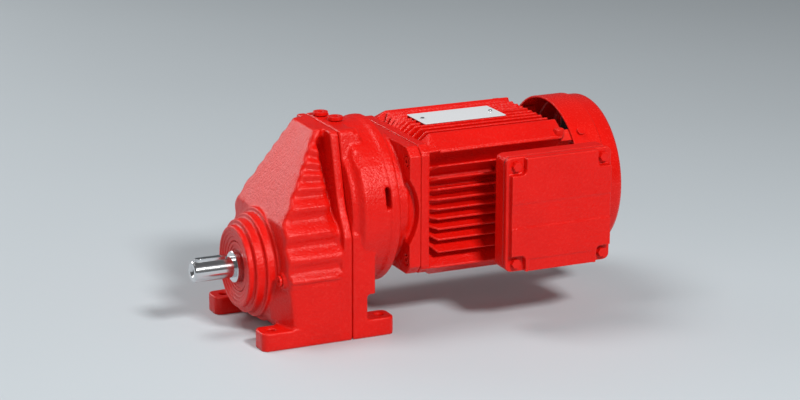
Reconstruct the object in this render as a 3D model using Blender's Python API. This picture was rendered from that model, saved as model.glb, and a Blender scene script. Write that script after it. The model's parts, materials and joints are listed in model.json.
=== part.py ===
"""Foot-mounted single-stage helical gear unit with its flange-fitted three-phase motor.

The output shaft points along -X, the motor along +X and the terminal box along -Y. Lengths are in
millimetres until a mesh is made. Shapes are drawn with the output shaft's shoulder at x = 0, the plane
of both shafts at y = 0 and the feet on z = 0, and one empty then centres the whole unit over its base.
"""

import math

import bmesh
import bpy
from mathutils import Matrix, Vector

MM = 0.001

# Shaft lines
SHAFT_HEIGHT = 63.0
CENTRE_DISTANCE = 52.5
MOTOR_HEIGHT = SHAFT_HEIGHT + CENTRE_DISTANCE
GAP = 0.3

# Output shaft
SHAFT_DIAMETER = 20.0
SHAFT_LENGTH = 40.0
SHAFT_CHAMFER = 1.0
JOURNAL_DIAMETER = 30.0
CENTRE_HOLE_DIAMETER = 6.0
CENTRE_HOLE_DEPTH = 16.0
KEY_WIDTH = 6.0
KEY_HEIGHT = 6.0
KEY_LENGTH = 32.0
KEY_DEPTH = 3.5
KEY_FROM_TIP = 3.0

# Gear pair
MODULE = 1.5
WHEEL_TEETH = 54
PINION_TEETH = 14
PRESSURE_ANGLE = math.radians(20)
FACE_WIDTH = 22.0
GEAR_START = 66.0
BACKLASH = 0.45
GEAR_SEAT_DIAMETER = 28.0
GEAR_KEY_WIDTH = 8.0
GEAR_KEY_HEIGHT = 7.0
GEAR_KEY_LENGTH = 18.0
GEAR_KEY_DEPTH = 4.0

# Output shaft bearings and seal
SEAL_WIDTH = 7.0
SEAL_DIAMETER = 47.0
SEAL_START = 5.0
FRONT_BEARING_DIAMETER = 62.0
FRONT_BEARING_WIDTH = 16.0
REAR_BEARING_DIAMETER = 52.0
REAR_BEARING_BORE = 25.0
REAR_BEARING_WIDTH = 15.0

# Gear housing
HALF_WIDTH = 72.5
RAIL_WIDTH = 25.0
RAIL_HEIGHT = 17.5
RAIL_FRONT = 1.7
RAIL_REAR = 135.5
RAIL_CORNER = 7.0
FOOT_HOLE_DIAMETER = 9.0
FOOT_HOLE_FRONT = 14.2
FOOT_HOLE_SPACING = 110.0
FOOT_HOLE_WIDTH = 120.0
UNDERSIDE = 8.0
SPLIT = 91.8
RIM_THICKNESS = 8.4
WALL_FRONT = 27.6
WALL_TOE = 32.0
CHIN_FRONT = 17.5
CHIN_HALF_WIDTH = 42.0
CHIN_BOTTOM = 21.0
CHIN_FULL = 40.0
CHIN_TOP = 80.0
BREAK_HEIGHT = 113.6
BREAK_HALF_WIDTH = 60.0
CREST_FRONT = 73.6
CREST_HALF_WIDTH = 27.0
TOP_HALF_WIDTH = 40.0
POCKET_DEPTH = 30.0
POCKET_DEEPEST = 166.0
POCKET_SHARE_AT_TOP = 0.45
PLAIN_SIDE_TOP = 76.0
SHOULDER_HEIGHT = 100.0
RIPPLE_CRESTS = (62.0, 84.0, 105.0, 130.0, 146.0, 156.0, 166.5, 177.5, 190.0)
RIPPLE_SHARE = 0.10
LEVELS_PER_WAVE = 6
CAVITY_START = 60.0
BOSS_RINGS = ((2.1, 38.6), (8.0, 44.1), (16.8, 49.1), (25.2, 54.0))
DISC_STEPS = ((35.0, 0.9), (31.5, 0.9), (28.0, 0.9))

# Drum of the rear casting
DRUM_RADIUS = 78.5
DRUM_START = 98.0
DRUM_RIM_RADIUS = 80.0
DRUM_RIM_START = 129.2
DRUM_END = 138.4
DRUM_POCKET_RADIUS = 62.0
DRUM_POCKET_START = 116.0
PLATE_REAR = 107.3
UPPER_PAD_REAR = 113.7
UPPER_PAD_BOTTOM = 150.0
LOWER_PAD_REAR = 115.2
LOWER_PAD_BOTTOM = 42.0
LOWER_PAD_TOP = 94.0
SLOT_WIDTH = 4.5
SLOT_BOTTOM = 124.0
SLOT_TOP = 144.0
PINION_TUNNEL_RADIUS = 17.0

# Plugs of the gear housing
PLUG_DIAMETER = 14.4
PLUG_HEIGHT = 3.4
PLUG_SOCKET = 5.0
TOP_PLUGS = ((99.8, 20.0), (105.0, -3.0))
LEVEL_PLUG_Y = -59.5
LEVEL_PLUG_DIAMETER = 10.0
LEVEL_PAD_FRONT = 24.8
PLUG_THREAD_LENGTH = 9.0

# Motor: front endshield
NECK_RADIUS = 64.0
FLANGE_START = 151.5
FLANGE_END = 163.2
FLANGE_HALF_HEIGHT = 62.0
FLANGE_CHAMFER = 8.5
SCOOP_DEPTH = 10.0
SCOOP_RADIUS = 54.0
HUB_START = 118.0
HUB_RADIUS = 30.0
NECK_OPENING = 14.0
SHIELD_WEB = 6.0

# Motor: frame
FRAME_HALF = 69.5
FRAME_FLANGE = 8.5
FRAME_END = 315.0
FRAME_BORE = 54.0
BARREL_RADIUS = 58.5
CORNER_ON_SIDE = FRAME_HALF - 12.5
CORNER_ON_TOP = FRAME_HALF - 20.9
FINS_PER_SIDE = 9
FIN_PITCH = math.radians(7.85)
FIN_TIP = 2.2
FIN_ROOT = 3.4
FIN_RUNOUT = 9.0
PANEL_LEAN = math.radians(1.2)
PANEL_CLEARANCE = math.radians(0.5)
BOX_PAD_HALF = 38.0
BOX_PAD_HEIGHT = 3.0

# Motor: rotor, stator and bearings
MOTOR_BEARING_DIAMETER = 47.0
MOTOR_BEARING_BORE = 20.0
MOTOR_BEARING_WIDTH = 14.0
END_BEARING_DIAMETER = 40.0
END_BEARING_BORE = 17.0
END_BEARING_WIDTH = 12.0
PINION_SEAL_DIAMETER = 34.0
PINION_SEAL_WIDTH = 7.0
PINION_BORE = 12.0
ROTOR_RADIUS = 33.5
ROTOR_START = 195.0
ROTOR_END = 275.0
ROTOR_SHAFT_DIAMETER = 26.0
AIR_GAP = 0.5
WINDING_OVERHANG = 14.0

# Motor: rear endshield, fan and cowl
SHIELD_THICKNESS = 12.0
FAN_START = 344.0
FAN_WIDTH = 18.0
FAN_RADIUS = 58.0
FAN_BLADES = 7
FAN_BORE = 14.0
COWL_START = 329.0
COWL_STEP = 357.6
COWL_BEND = 371.5
COWL_END = 378.0
COWL_RADIUS = 78.2
COWL_STEPS = 36
COWL_WALL = 2.0
COWL_STEP_IN = 2.0
GRILLE_RINGS = 3
GRILLE_SPOKES = 6
GRILLE_PITCH = 13.0
GRILLE_SLOT = 7.0
LUG_WIDTH = 12.0
LUG_CLEARANCE = 1.0
LUG_LENGTH = 30.0

# Terminal box
BOX_CENTRE = 284.5
BOX_HEIGHT = MOTOR_HEIGHT
BOX_SIDE = 111.0
BOX_BACK = 92.0
BOX_JOINT = 108.0
BOX_FRONT = 122.0
BOX_CORNER = 6.0
BOX_WALL = 3.5
GASKET = 1.2
COVER_FLANGE = 5.5
COVER_POCKET = (18.0, 16.0)
COVER_BAND = (-12.0, 12.0)
COVER_STRIP = 12.0
COVER_BAND_DEPTH = 0.6
COVER_INSET = 3.0
COVER_SCREW_SPACING = (92.0, 94.0)
COVER_SCREW_HEAD = 8.0
COVER_SCREW_LENGTH = 16.0
ENTRY_DIAMETER = 25.0
ENTRY_SPACING = 42.0
ENTRY_HEAD = 3.0
BOARD_OFFSET = 28.0
BOARD_SIZE = (24.0, 44.0)
BOARD_THICKNESS = 5.0
STUD_SPACING = (12.0, 14.0)
STUD_HEIGHT = 6.0
WIRE_OPENING = 12.0
COVER_HOLLOW_INSET = 18.0

# Nameplate
PLATE_START = 190.4
PLATE_LENGTH = 86.7
PLATE_WIDTH = 41.0
PLATE_THICKNESS = 0.8

# Fasteners
BOLT_DIAMETER = 6.0
BOLT_HEAD_DIAMETER = 10.0
BOLT_HEAD_HEIGHT = 6.0
HOUSING_BOLT_LOW = (50.0, 28.0)
HOUSING_BOLT_HIGH = (20.0, 150.0)
HOUSING_BOLT_GRIP = 15.0
FLANGE_BOLT_DIAMETER = 5.0
FLANGE_BOLT_HEAD = 8.5
FLANGE_BOLT_HEAD_HEIGHT = 5.0
FLANGE_BOLT_INSET = (8.0, 14.0)
COWL_SCREW_HEAD = 8.0
COWL_SCREW_HEIGHT = 2.6

# Sizes worked out from those above
HELIX = math.acos(MODULE * (WHEEL_TEETH + PINION_TEETH) / (2 * CENTRE_DISTANCE))
TRANSVERSE_MODULE = MODULE / math.cos(HELIX)
WHEEL_RADIUS = TRANSVERSE_MODULE * WHEEL_TEETH / 2
PINION_RADIUS = TRANSVERSE_MODULE * PINION_TEETH / 2
GEAR_END = GEAR_START + FACE_WIDTH
RIM_FRONT = SPLIT - RIM_THICKNESS
TOP_HEIGHT = MOTOR_HEIGHT + DRUM_RADIUS + GAP
FRONT_BEARING_START = SEAL_START + SEAL_WIDTH + GAP
FRONT_BEARING_END = FRONT_BEARING_START + FRONT_BEARING_WIDTH
REAR_BEARING_START = SPLIT + 1.5
REAR_BEARING_END = REAR_BEARING_START + REAR_BEARING_WIDTH
SHAFT_REAR = REAR_BEARING_END + 1.5
MOTOR_BEARING_START = HUB_START + PINION_SEAL_WIDTH + 2.0
MOTOR_BEARING_END = MOTOR_BEARING_START + MOTOR_BEARING_WIDTH
FRAME_START = FLANGE_END + GAP
FLANGE_BOLT_PLACE = (FRAME_HALF - FLANGE_BOLT_INSET[0], FLANGE_HALF_HEIGHT - FLANGE_BOLT_INSET[1])
SHIELD_START = FRAME_END + GAP
SHIELD_END = SHIELD_START + SHIELD_THICKNESS
END_BEARING_START = SHIELD_END - END_BEARING_WIDTH - 8.0
END_BEARING_END = END_BEARING_START + END_BEARING_WIDTH
FAN_END = FAN_START + FAN_WIDTH
STATOR_BORE = ROTOR_RADIUS + AIR_GAP
BOX_SEAT = FRAME_HALF + BOX_PAD_HEIGHT
WIDEST = max(DRUM_RIM_RADIUS, COWL_RADIUS, FRAME_HALF, HALF_WIDTH)
CENTRE_X = (COWL_END - SHAFT_LENGTH) / 2
CENTRE_Y = (WIDEST - BOX_FRONT) / 2


def clear_scene():
    """Remove whatever the file holds, so that the unit stands alone."""
    for obj in list(bpy.data.objects):
        bpy.data.objects.remove(obj, do_unlink=True)


def material(name, colour, roughness, metallic):
    """Principled material with one colour, roughness and metallic value."""
    made = bpy.data.materials.new(name)
    made.use_nodes = True
    shader = made.node_tree.nodes["Principled BSDF"]
    shader.inputs["Base Color"].default_value = (*colour, 1.0)
    shader.inputs["Roughness"].default_value = roughness
    shader.inputs["Metallic"].default_value = metallic
    made.diffuse_color = (*colour, 1.0)
    return made


def empty(name, place, parent=None):
    """Empty at a place in millimetres, used as a shared axis."""
    made = bpy.data.objects.new(name, None)
    made.location = Vector(place) * MM
    made.parent = parent
    bpy.context.scene.collection.objects.link(made)
    return made


def piece(name, bm, parent=None, finish=None):
    """Turn a millimetre bmesh into a named object with outward faces."""
    bmesh.ops.remove_doubles(bm, verts=bm.verts, dist=1e-4)
    bmesh.ops.recalc_face_normals(bm, faces=bm.faces)
    bmesh.ops.scale(bm, verts=bm.verts, vec=(MM, MM, MM))
    mesh = bpy.data.meshes.new(name)
    bm.to_mesh(mesh)
    bm.free()
    made = bpy.data.objects.new(name, mesh)
    bpy.context.scene.collection.objects.link(made)
    made.parent = parent
    if finish:
        mesh.materials.append(finish)
    return made


def tidy(mesh):
    """Close hairline slits between nearly equal points, and lay new triangles over each plane."""
    bm = bmesh.new()
    bm.from_mesh(mesh)
    bmesh.ops.remove_doubles(bm, verts=bm.verts, dist=2e-6)
    bmesh.ops.dissolve_degenerate(bm, dist=1e-6, edges=bm.edges)
    bmesh.ops.dissolve_limit(bm, angle_limit=0.0008, verts=bm.verts, edges=bm.edges)
    bmesh.ops.triangulate(bm, faces=bm.faces)
    bm.to_mesh(mesh)
    bm.free()


def combine(obj, tools, operation):
    """Apply one Boolean for each tool, drawn in the object's own space, then remove the tools."""
    for tool in tools:
        tool.parent = obj.parent
        modifier = obj.modifiers.new(operation.lower(), "BOOLEAN")
        modifier.operation = operation
        modifier.object = tool
        bpy.context.view_layer.update()
        graph = bpy.context.evaluated_depsgraph_get()
        result = bpy.data.meshes.new_from_object(obj.evaluated_get(graph))
        obj.modifiers.clear()
        obj.data = result
        bpy.data.objects.remove(tool, do_unlink=True)
        tidy(result)
    return obj


def add(obj, *tools):
    """Fuse the tools to the object."""
    return combine(obj, tools, "UNION")


def cut(obj, *tools):
    """Cut the tools out of the object."""
    return combine(obj, tools, "DIFFERENCE")


def soften(obj, angle=35):
    """Shade smooth, keeping edges sharper than the angle crisp."""
    obj.data.shade_smooth()
    obj.data.set_sharp_from_angle(angle=math.radians(angle))
    return obj


def arc(centre, radius, start, end, steps):
    """Points on an arc, angles in degrees."""
    points = []
    for index in range(steps + 1):
        angle = math.radians(start + (end - start) * index / steps)
        points.append((centre[0] + radius * math.cos(angle), centre[1] + radius * math.sin(angle)))
    return points


def bend(first, control, last, steps):
    """Points on a parabola from first to last, drawn towards control."""
    points = []
    for index in range(steps + 1):
        t = index / steps
        along = [
            (1 - t) ** 2 * a + 2 * t * (1 - t) * b + t * t * c
            for a, b, c in zip(first, control, last)
        ]
        points.append(tuple(along))
    return points


def rounded_box(low, high, radius, steps=4):
    """Outline of a rectangle with round corners."""
    (left, bottom), (right, top) = low, high
    corners = ((right, top, 0), (left, top, 90), (left, bottom, 180), (right, bottom, 270))
    points = []
    for x, y, start in corners:
        centre = (x - math.copysign(radius, x - (left + right) / 2),
                  y - math.copysign(radius, y - (bottom + top) / 2))
        points += arc(centre, radius, start, start + 90, steps)
    return points


def circle(centre, radius, steps=32):
    """Outline of a circle."""
    return arc(centre, radius, 0, 360, steps)[:-1]


def lift(outline, axis, value):
    """Put a flat outline on the plane axis = value: (y, z), (x, z) or (x, y)."""
    if axis == "X":
        return [Vector((value, a, b)) for a, b in outline]
    if axis == "Y":
        return [Vector((a, value, b)) for a, b in outline]
    return [Vector((a, b, value)) for a, b in outline]


def prism_mesh(bm, outline, axis, start, end):
    """Extrude a flat outline along an axis."""
    face = bm.faces.new([bm.verts.new(point) for point in lift(outline, axis, start)])
    grown = bmesh.ops.extrude_face_region(bm, geom=[face])
    moved = [item for item in grown["geom"] if isinstance(item, bmesh.types.BMVert)]
    step = Vector((0, 0, 0))
    step["XYZ".index(axis)] = end - start
    bmesh.ops.translate(bm, verts=moved, vec=step)


def prism(name, outline, axis, start, end, parent=None, finish=None):
    """Solid of one outline extruded along an axis."""
    bm = bmesh.new()
    prism_mesh(bm, outline, axis, start, end)
    return piece(name, bm, parent, finish)


def block(low, high):
    """Plain block used as a tool."""
    return prism("block", [(low[0], low[1]), (high[0], low[1]), (high[0], high[1]), (low[0], high[1])],
                 "Z", low[2], high[2])


def loft(name, rings, parent=None, finish=None):
    """Solid through closed rings of equal length, with both ends closed."""
    bm = bmesh.new()
    made = [[bm.verts.new(point) for point in ring] for ring in rings]
    for ring in made:
        for index, vert in enumerate(ring):
            bm.edges.new((vert, ring[(index + 1) % len(ring)]))
    for lower, upper in zip(made, made[1:]):
        for index in range(len(lower)):
            following = (index + 1) % len(lower)
            bm.faces.new((lower[index], lower[following], upper[following], upper[index]))
    bm.faces.new(made[0])
    bm.faces.new(made[-1])
    return piece(name, bm, parent, finish)


def turned(name, profile, steps=48, parent=None, finish=None):
    """Solid turned about the X axis from a closed profile of (x, radius) points."""
    bm = bmesh.new()
    verts = [bm.verts.new((x, 0, radius)) for x, radius in profile]
    edges = []
    for index, vert in enumerate(verts):
        following = verts[(index + 1) % len(verts)]
        if vert.co.z > 0 or following.co.z > 0:
            edges.append(bm.edges.new((vert, following)))
    bmesh.ops.spin(bm, geom=verts + edges, axis=(1, 0, 0), cent=(0, 0, 0),
                   dvec=(0, 0, 0), angle=math.tau, steps=steps, use_merge=True)
    bmesh.ops.remove_doubles(bm, verts=bm.verts, dist=1e-4)
    return piece(name, bm, parent, finish)


def shaft_profile(stations):
    """Closed profile of a solid shaft from its (x, radius) outline."""
    return [(stations[0][0], 0.0), *stations, (stations[-1][0], 0.0)]


def ring_profile(start, end, inner, outer, chamfer=0.5):
    """Closed profile of a ring with small outer chamfers."""
    return [(start, inner), (start, outer - chamfer), (start + chamfer, outer),
            (end - chamfer, outer), (end, outer - chamfer), (end, inner)]


def rod(centre, radius, start, end, axis="X", steps=24):
    """Plain cylinder used as a tool, centre given across the axis."""
    return prism("rod", circle(centre, radius, steps), axis, start, end)


def move(obj, offset):
    """Shift a mesh in its own space by millimetres."""
    obj.data.transform(Matrix.Translation(Vector(offset) * MM))
    return obj


def ease(value):
    """Smooth step from 0 to 1."""
    value = min(max(value, 0.0), 1.0)
    return value * value * (3 - 2 * value)


def between(value, start, end):
    """Share of the way from start to end."""
    return (value - start) / (end - start)


# Gear housing, front casting

def ripple(height):
    """Sideways swell of the cast waves at one height: long waves below, short ones above."""
    window = ease(between(height, PLAIN_SIDE_TOP - 8, PLAIN_SIDE_TOP + 10))
    window *= ease(between(height, TOP_HEIGHT, TOP_HEIGHT - 14))
    for low, high in zip(RIPPLE_CRESTS, RIPPLE_CRESTS[1:]):
        if low <= height < high:
            pitch = high - low
            return RIPPLE_SHARE * pitch * window * math.cos(math.tau * between(height, low, high))
    return 0.0


def side_at(height):
    """Half width of the split rim at one height."""
    slope = between(height, SHOULDER_HEIGHT, TOP_HEIGHT)
    if slope <= 0:
        return HALF_WIDTH
    return HALF_WIDTH - (HALF_WIDTH - TOP_HALF_WIDTH) * (0.25 * ease(slope * 3) + 0.75 * slope) * 1.0


def front_half_width(height):
    """Half width of the front face at one height, without the waves."""
    if height >= BREAK_HEIGHT:
        along = between(height, BREAK_HEIGHT, TOP_HEIGHT)
        return BREAK_HALF_WIDTH + (CREST_HALF_WIDTH - BREAK_HALF_WIDTH) * along
    along = between(height, BREAK_HEIGHT, PLAIN_SIDE_TOP - 2)
    return BREAK_HALF_WIDTH + (HALF_WIDTH - 1 - BREAK_HALF_WIDTH) * min(along, 1.0)


def rear_half_width(height):
    """Half width where the wavy side meets the rim."""
    set_in = POCKET_DEPTH * min(max(between(height, PLAIN_SIDE_TOP, POCKET_DEEPEST), 0.0), 1.0)
    closing = ease(between(height, POCKET_DEEPEST + 6, TOP_HEIGHT - 2))
    set_in *= 1 - (1 - POCKET_SHARE_AT_TOP) * closing
    return side_at(height) - max(set_in, GAP)


def front_face(height):
    """X of the front face: a toe, an upright wall, then the slope to the crest."""
    if height >= BREAK_HEIGHT:
        return WALL_FRONT + (CREST_FRONT - WALL_FRONT) * between(height, BREAK_HEIGHT, TOP_HEIGHT)
    toe = ease(between(height, SHAFT_HEIGHT + 10, RAIL_HEIGHT))
    return WALL_FRONT + (WALL_TOE - WALL_FRONT) * toe


def chin_face(height):
    """X of the swollen middle of the front wall below the boss."""
    swell = ease(between(height, CHIN_TOP, CHIN_FULL)) * ease(between(height, UNDERSIDE, CHIN_BOTTOM))
    return front_face(height) - 0.3 + (CHIN_FRONT - WALL_FRONT) * swell


def housing_section(height):
    """Closed outline of the front casting at one height."""
    front = front_face(height)
    chin = min(CHIN_HALF_WIDTH, front_half_width(height) - 12)
    wide = front_half_width(height) + ripple(height)
    back = rear_half_width(height) + ripple(height)
    middle = (front + RIM_FRONT) / 2
    waist = (wide + back) / 2 + 1.5
    half = [(chin_face(height), chin), (front, wide - 4), (front + 1.2, wide - 1.2), (front + 4, wide),
            (middle, waist), (RIM_FRONT - 5, back + 0.8), (RIM_FRONT + 2, back - 1.5)]
    near = [Vector((x, -y, height)) for x, y in half]
    far = [Vector((x, y, height)) for x, y in reversed(half)]
    return near + far


def housing_levels():
    """Heights of the sections: close together where the sides are wavy."""
    levels = [UNDERSIDE, RAIL_HEIGHT, CHIN_BOTTOM, CHIN_FULL, (CHIN_FULL + SHAFT_HEIGHT) / 2, SHAFT_HEIGHT]
    for low, high in zip(RIPPLE_CRESTS, RIPPLE_CRESTS[1:]):
        for index in range(LEVELS_PER_WAVE):
            height = low + (high - low) * index / LEVELS_PER_WAVE
            if height > PLAIN_SIDE_TOP - 8:
                levels.append(height)
    levels.append(TOP_HEIGHT - GAP)
    nearest = min(range(len(levels)), key=lambda index: abs(levels[index] - BREAK_HEIGHT))
    levels[nearest] = BREAK_HEIGHT
    return levels


def rim_outline():
    """Outline of the split faces, seen along the shafts."""
    corner = 5.0
    side = [(HALF_WIDTH, UNDERSIDE), (HALF_WIDTH, SHOULDER_HEIGHT)]
    steps = 8
    for index in range(1, steps + 1):
        height = SHOULDER_HEIGHT + (TOP_HEIGHT - corner - SHOULDER_HEIGHT) * index / steps
        side.append((side_at(height), height))
    side += bend(side[-1], (TOP_HALF_WIDTH + 0.6, TOP_HEIGHT), (TOP_HALF_WIDTH - corner, TOP_HEIGHT), 3)[1:]
    return side + [(-y, z) for y, z in reversed(side)]


def rails(start, end, front_round, rear_round):
    """Both foot rails as tools, round at their free ends."""
    made = []
    for side in (-1, 1):
        inner, outer = HALF_WIDTH - RAIL_WIDTH, HALF_WIDTH
        points = []
        if front_round:
            points += arc((start + RAIL_CORNER, inner + RAIL_CORNER), RAIL_CORNER, 270, 180, 4)
            points += arc((start + RAIL_CORNER, outer - RAIL_CORNER), RAIL_CORNER, 180, 90, 4)
        else:
            points += [(start, inner), (start, outer)]
        if rear_round:
            points += arc((end - RAIL_CORNER, outer - RAIL_CORNER), RAIL_CORNER, 90, 0, 4)
            points += arc((end - RAIL_CORNER, inner + RAIL_CORNER), RAIL_CORNER, 0, -90, 4)
        else:
            points += [(end, outer), (end, inner)]
        points = [(x, side * y) for x, y in points]
        made.append(prism("rail", points, "Z", 0.0, RAIL_HEIGHT))
    return made


def foot_hole(x, side):
    """Bolt hole down through one foot."""
    return rod((x, side * FOOT_HOLE_WIDTH / 2), FOOT_HOLE_DIAMETER / 2, -1, RAIL_HEIGHT + 1, "Z")


def capsule(low_radius, high_radius):
    """Outline round both gears: two arcs and their common tangents."""
    lean = math.degrees(math.asin((low_radius - high_radius) / CENTRE_DISTANCE))
    lower = arc((0, SHAFT_HEIGHT), low_radius, 180 - lean, 360 + lean, 24)
    upper = arc((0, MOTOR_HEIGHT), high_radius, lean, 180 - lean, 12)
    return lower + upper


def boss():
    """Stepped bearing boss round the output shaft, with its ringed front disc."""
    first, radius = BOSS_RINGS[0]
    profile = [(first + sum(step for _, step in DISC_STEPS), 0.0)]
    depth = sum(step for _, step in DISC_STEPS)
    for ring, step in reversed(DISC_STEPS):
        profile += [(first + depth, ring - 0.6)]
        depth -= step
        profile += [(first + depth, ring)]
    profile += [(first, radius - 1.0), (first + 1.0, radius)]
    for (_, inner), (start, outer) in zip(BOSS_RINGS, BOSS_RINGS[1:]):
        profile += [(start, inner), (start, outer - 1.0), (start + 1.0, outer)]
    profile += [(WALL_TOE + 8, BOSS_RINGS[-1][1]), (WALL_TOE + 8, 0.0)]
    return move(turned("boss", profile, 36), (0, 0, SHAFT_HEIGHT))


def housing_bolt_seats():
    """Place of each bolt that holds the castings together, with the x of the face under its head."""
    low = [(side * HOUSING_BOLT_LOW[0], HOUSING_BOLT_LOW[1], PLATE_REAR) for side in (-1, 1)]
    high = [(side * HOUSING_BOLT_HIGH[0], HOUSING_BOLT_HIGH[1], DRUM_POCKET_START) for side in (-1, 1)]
    return low + high


def housing_bolt_holes(start, end=None):
    """Holes for those bolts, each from its seat or from a given end."""
    return [rod((y, z), BOLT_DIAMETER / 2 + GAP, start, end or seat + 1, steps=12)
            for y, z, seat in housing_bolt_seats()]


def gear_housing_front(parent, finish):
    """Front casting: wavy body, split rim, bearing boss and front feet."""
    body = loft("gear_housing_front", [housing_section(z) for z in housing_levels()], parent, finish)
    rim = prism("rim", rim_outline(), "X", RIM_FRONT, SPLIT)
    level_pad = rod((LEVEL_PLUG_Y, SHAFT_HEIGHT), LEVEL_PLUG_DIAMETER / 2 + 2, LEVEL_PAD_FRONT, WALL_TOE + 4)
    add(body, rim, boss(), *rails(RAIL_FRONT, SPLIT, True, False), level_pad)
    cavity = prism("cavity", capsule(WHEEL_RADIUS + 5.5, PINION_RADIUS + 7), "X", CAVITY_START, SPLIT + 1)
    bearing = FRONT_BEARING_DIAMETER / 2 + GAP
    seal = SEAL_DIAMETER / 2 + GAP
    lip = SEAL_START + SEAL_WIDTH
    bore = turned("bore", [(-5, 0), (-5, seal), (lip, seal), (lip, bearing),
                           (CAVITY_START + 1, bearing), (CAVITY_START + 1, 0)], 28)
    move(bore, (0, 0, SHAFT_HEIGHT))
    cut(body, cavity, bore)
    cut(body, *[foot_hole(FOOT_HOLE_FRONT, side) for side in (-1, 1)])
    cut(body, *housing_bolt_holes(SPLIT - HOUSING_BOLT_GRIP - 1, SPLIT + 1))
    cut(body, rod((LEVEL_PLUG_Y, SHAFT_HEIGHT), LEVEL_PLUG_DIAMETER / 2 - 1.5 + GAP, LEVEL_PAD_FRONT - 3,
                  LEVEL_PAD_FRONT + PLUG_THREAD_LENGTH, steps=16))
    return soften(body)


# Gear housing, rear casting

def gear_housing_rear(parent, finish):
    """Rear casting: split plate, motor drum, corner pads and rear feet."""
    start = SPLIT + GAP
    body = prism("gear_housing_rear", rim_outline(), "X", start, PLATE_REAR, parent, finish)
    profile = [(start + 1, 0), (start + 1, HALF_WIDTH - 2), (DRUM_START, HALF_WIDTH - 1),
               (DRUM_START + 5, DRUM_RADIUS), (DRUM_RIM_START, DRUM_RADIUS),
               (DRUM_RIM_START, DRUM_RIM_RADIUS), (DRUM_END - 1.5, DRUM_RIM_RADIUS),
               (DRUM_END, DRUM_RIM_RADIUS - 1.5), (DRUM_END, 0)]
    drum = move(turned("drum", profile, 48), (0, 0, MOTOR_HEIGHT))
    add(body, drum, *rails(start, RAIL_REAR, False, True))
    for side in (-1, 1):
        upper = [(side * 30, UPPER_PAD_BOTTOM), (side * side_at(UPPER_PAD_BOTTOM), UPPER_PAD_BOTTOM),
                 (side * side_at(TOP_HEIGHT - 5), TOP_HEIGHT - 5),
                 (side * (TOP_HALF_WIDTH - 5), TOP_HEIGHT - GAP), (side * 30, TOP_HEIGHT - GAP)]
        add(body, prism("pad", upper, "X", PLATE_REAR - 2, UPPER_PAD_REAR))
        low = [(side * 45, LOWER_PAD_BOTTOM), (side * (HALF_WIDTH - 0.4), LOWER_PAD_BOTTOM),
               (side * (HALF_WIDTH - 0.4), LOWER_PAD_TOP), (side * 45, LOWER_PAD_TOP)]
        add(body, prism("pad", low, "X", PLATE_REAR - 2, LOWER_PAD_REAR))
    for x, y in TOP_PLUGS:
        add(body, rod((x, y), PLUG_DIAMETER / 2 + 0.2, TOP_HEIGHT - 8, TOP_HEIGHT + 0.8, "Z"))
        cut(body, rod((x, y), PLUG_DIAMETER / 2 - 2 + GAP, TOP_HEIGHT + 0.8 - PLUG_THREAD_LENGTH,
                      TOP_HEIGHT + 3, "Z", 16))
    seat = REAR_BEARING_DIAMETER / 2 + GAP
    bearing = turned("seat", [(start - 2, 0), (start - 2, seat), (REAR_BEARING_END + GAP, seat),
                              (REAR_BEARING_END + GAP, seat - 5), (SHAFT_REAR + 2, seat - 5),
                              (SHAFT_REAR + 2, 0)], 28)
    tunnel = turned("tunnel", [(start - 2, 0), (start - 2, PINION_TUNNEL_RADIUS),
                               (DRUM_POCKET_START, PINION_TUNNEL_RADIUS),
                               (DRUM_POCKET_START, DRUM_POCKET_RADIUS),
                               (DRUM_END + 2, DRUM_POCKET_RADIUS), (DRUM_END + 2, 0)], 40)
    cut(body, move(bearing, (0, 0, SHAFT_HEIGHT)), move(tunnel, (0, 0, MOTOR_HEIGHT)))
    cut(body, block((DRUM_RIM_START - SLOT_WIDTH, -DRUM_RIM_RADIUS - 2, SLOT_BOTTOM),
                    (DRUM_RIM_START, -DRUM_POCKET_RADIUS + 12, SLOT_TOP)))
    cut(body, *[foot_hole(FOOT_HOLE_FRONT + FOOT_HOLE_SPACING, side) for side in (-1, 1)])
    cut(body, *housing_bolt_holes(start - 1))
    return soften(body)


# Output shaft line

def keyway(width, start, length, top, depth, steps=4):
    """Round-ended slot cut down into a shaft from its top."""
    outline = rounded_box((start, -width / 2), (start + length, width / 2), width / 2 - 0.01, steps)
    return prism("keyway", outline, "Z", top - depth, top + 6)


def parallel_key(name, width, height, start, length, bottom, parent, finish):
    """Round-ended key lying in its slot."""
    outline = rounded_box((start, -width / 2), (start + length, width / 2), width / 2 - 0.01, 4)
    return prism(name, outline, "Z", bottom, bottom + height, parent, finish)


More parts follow.
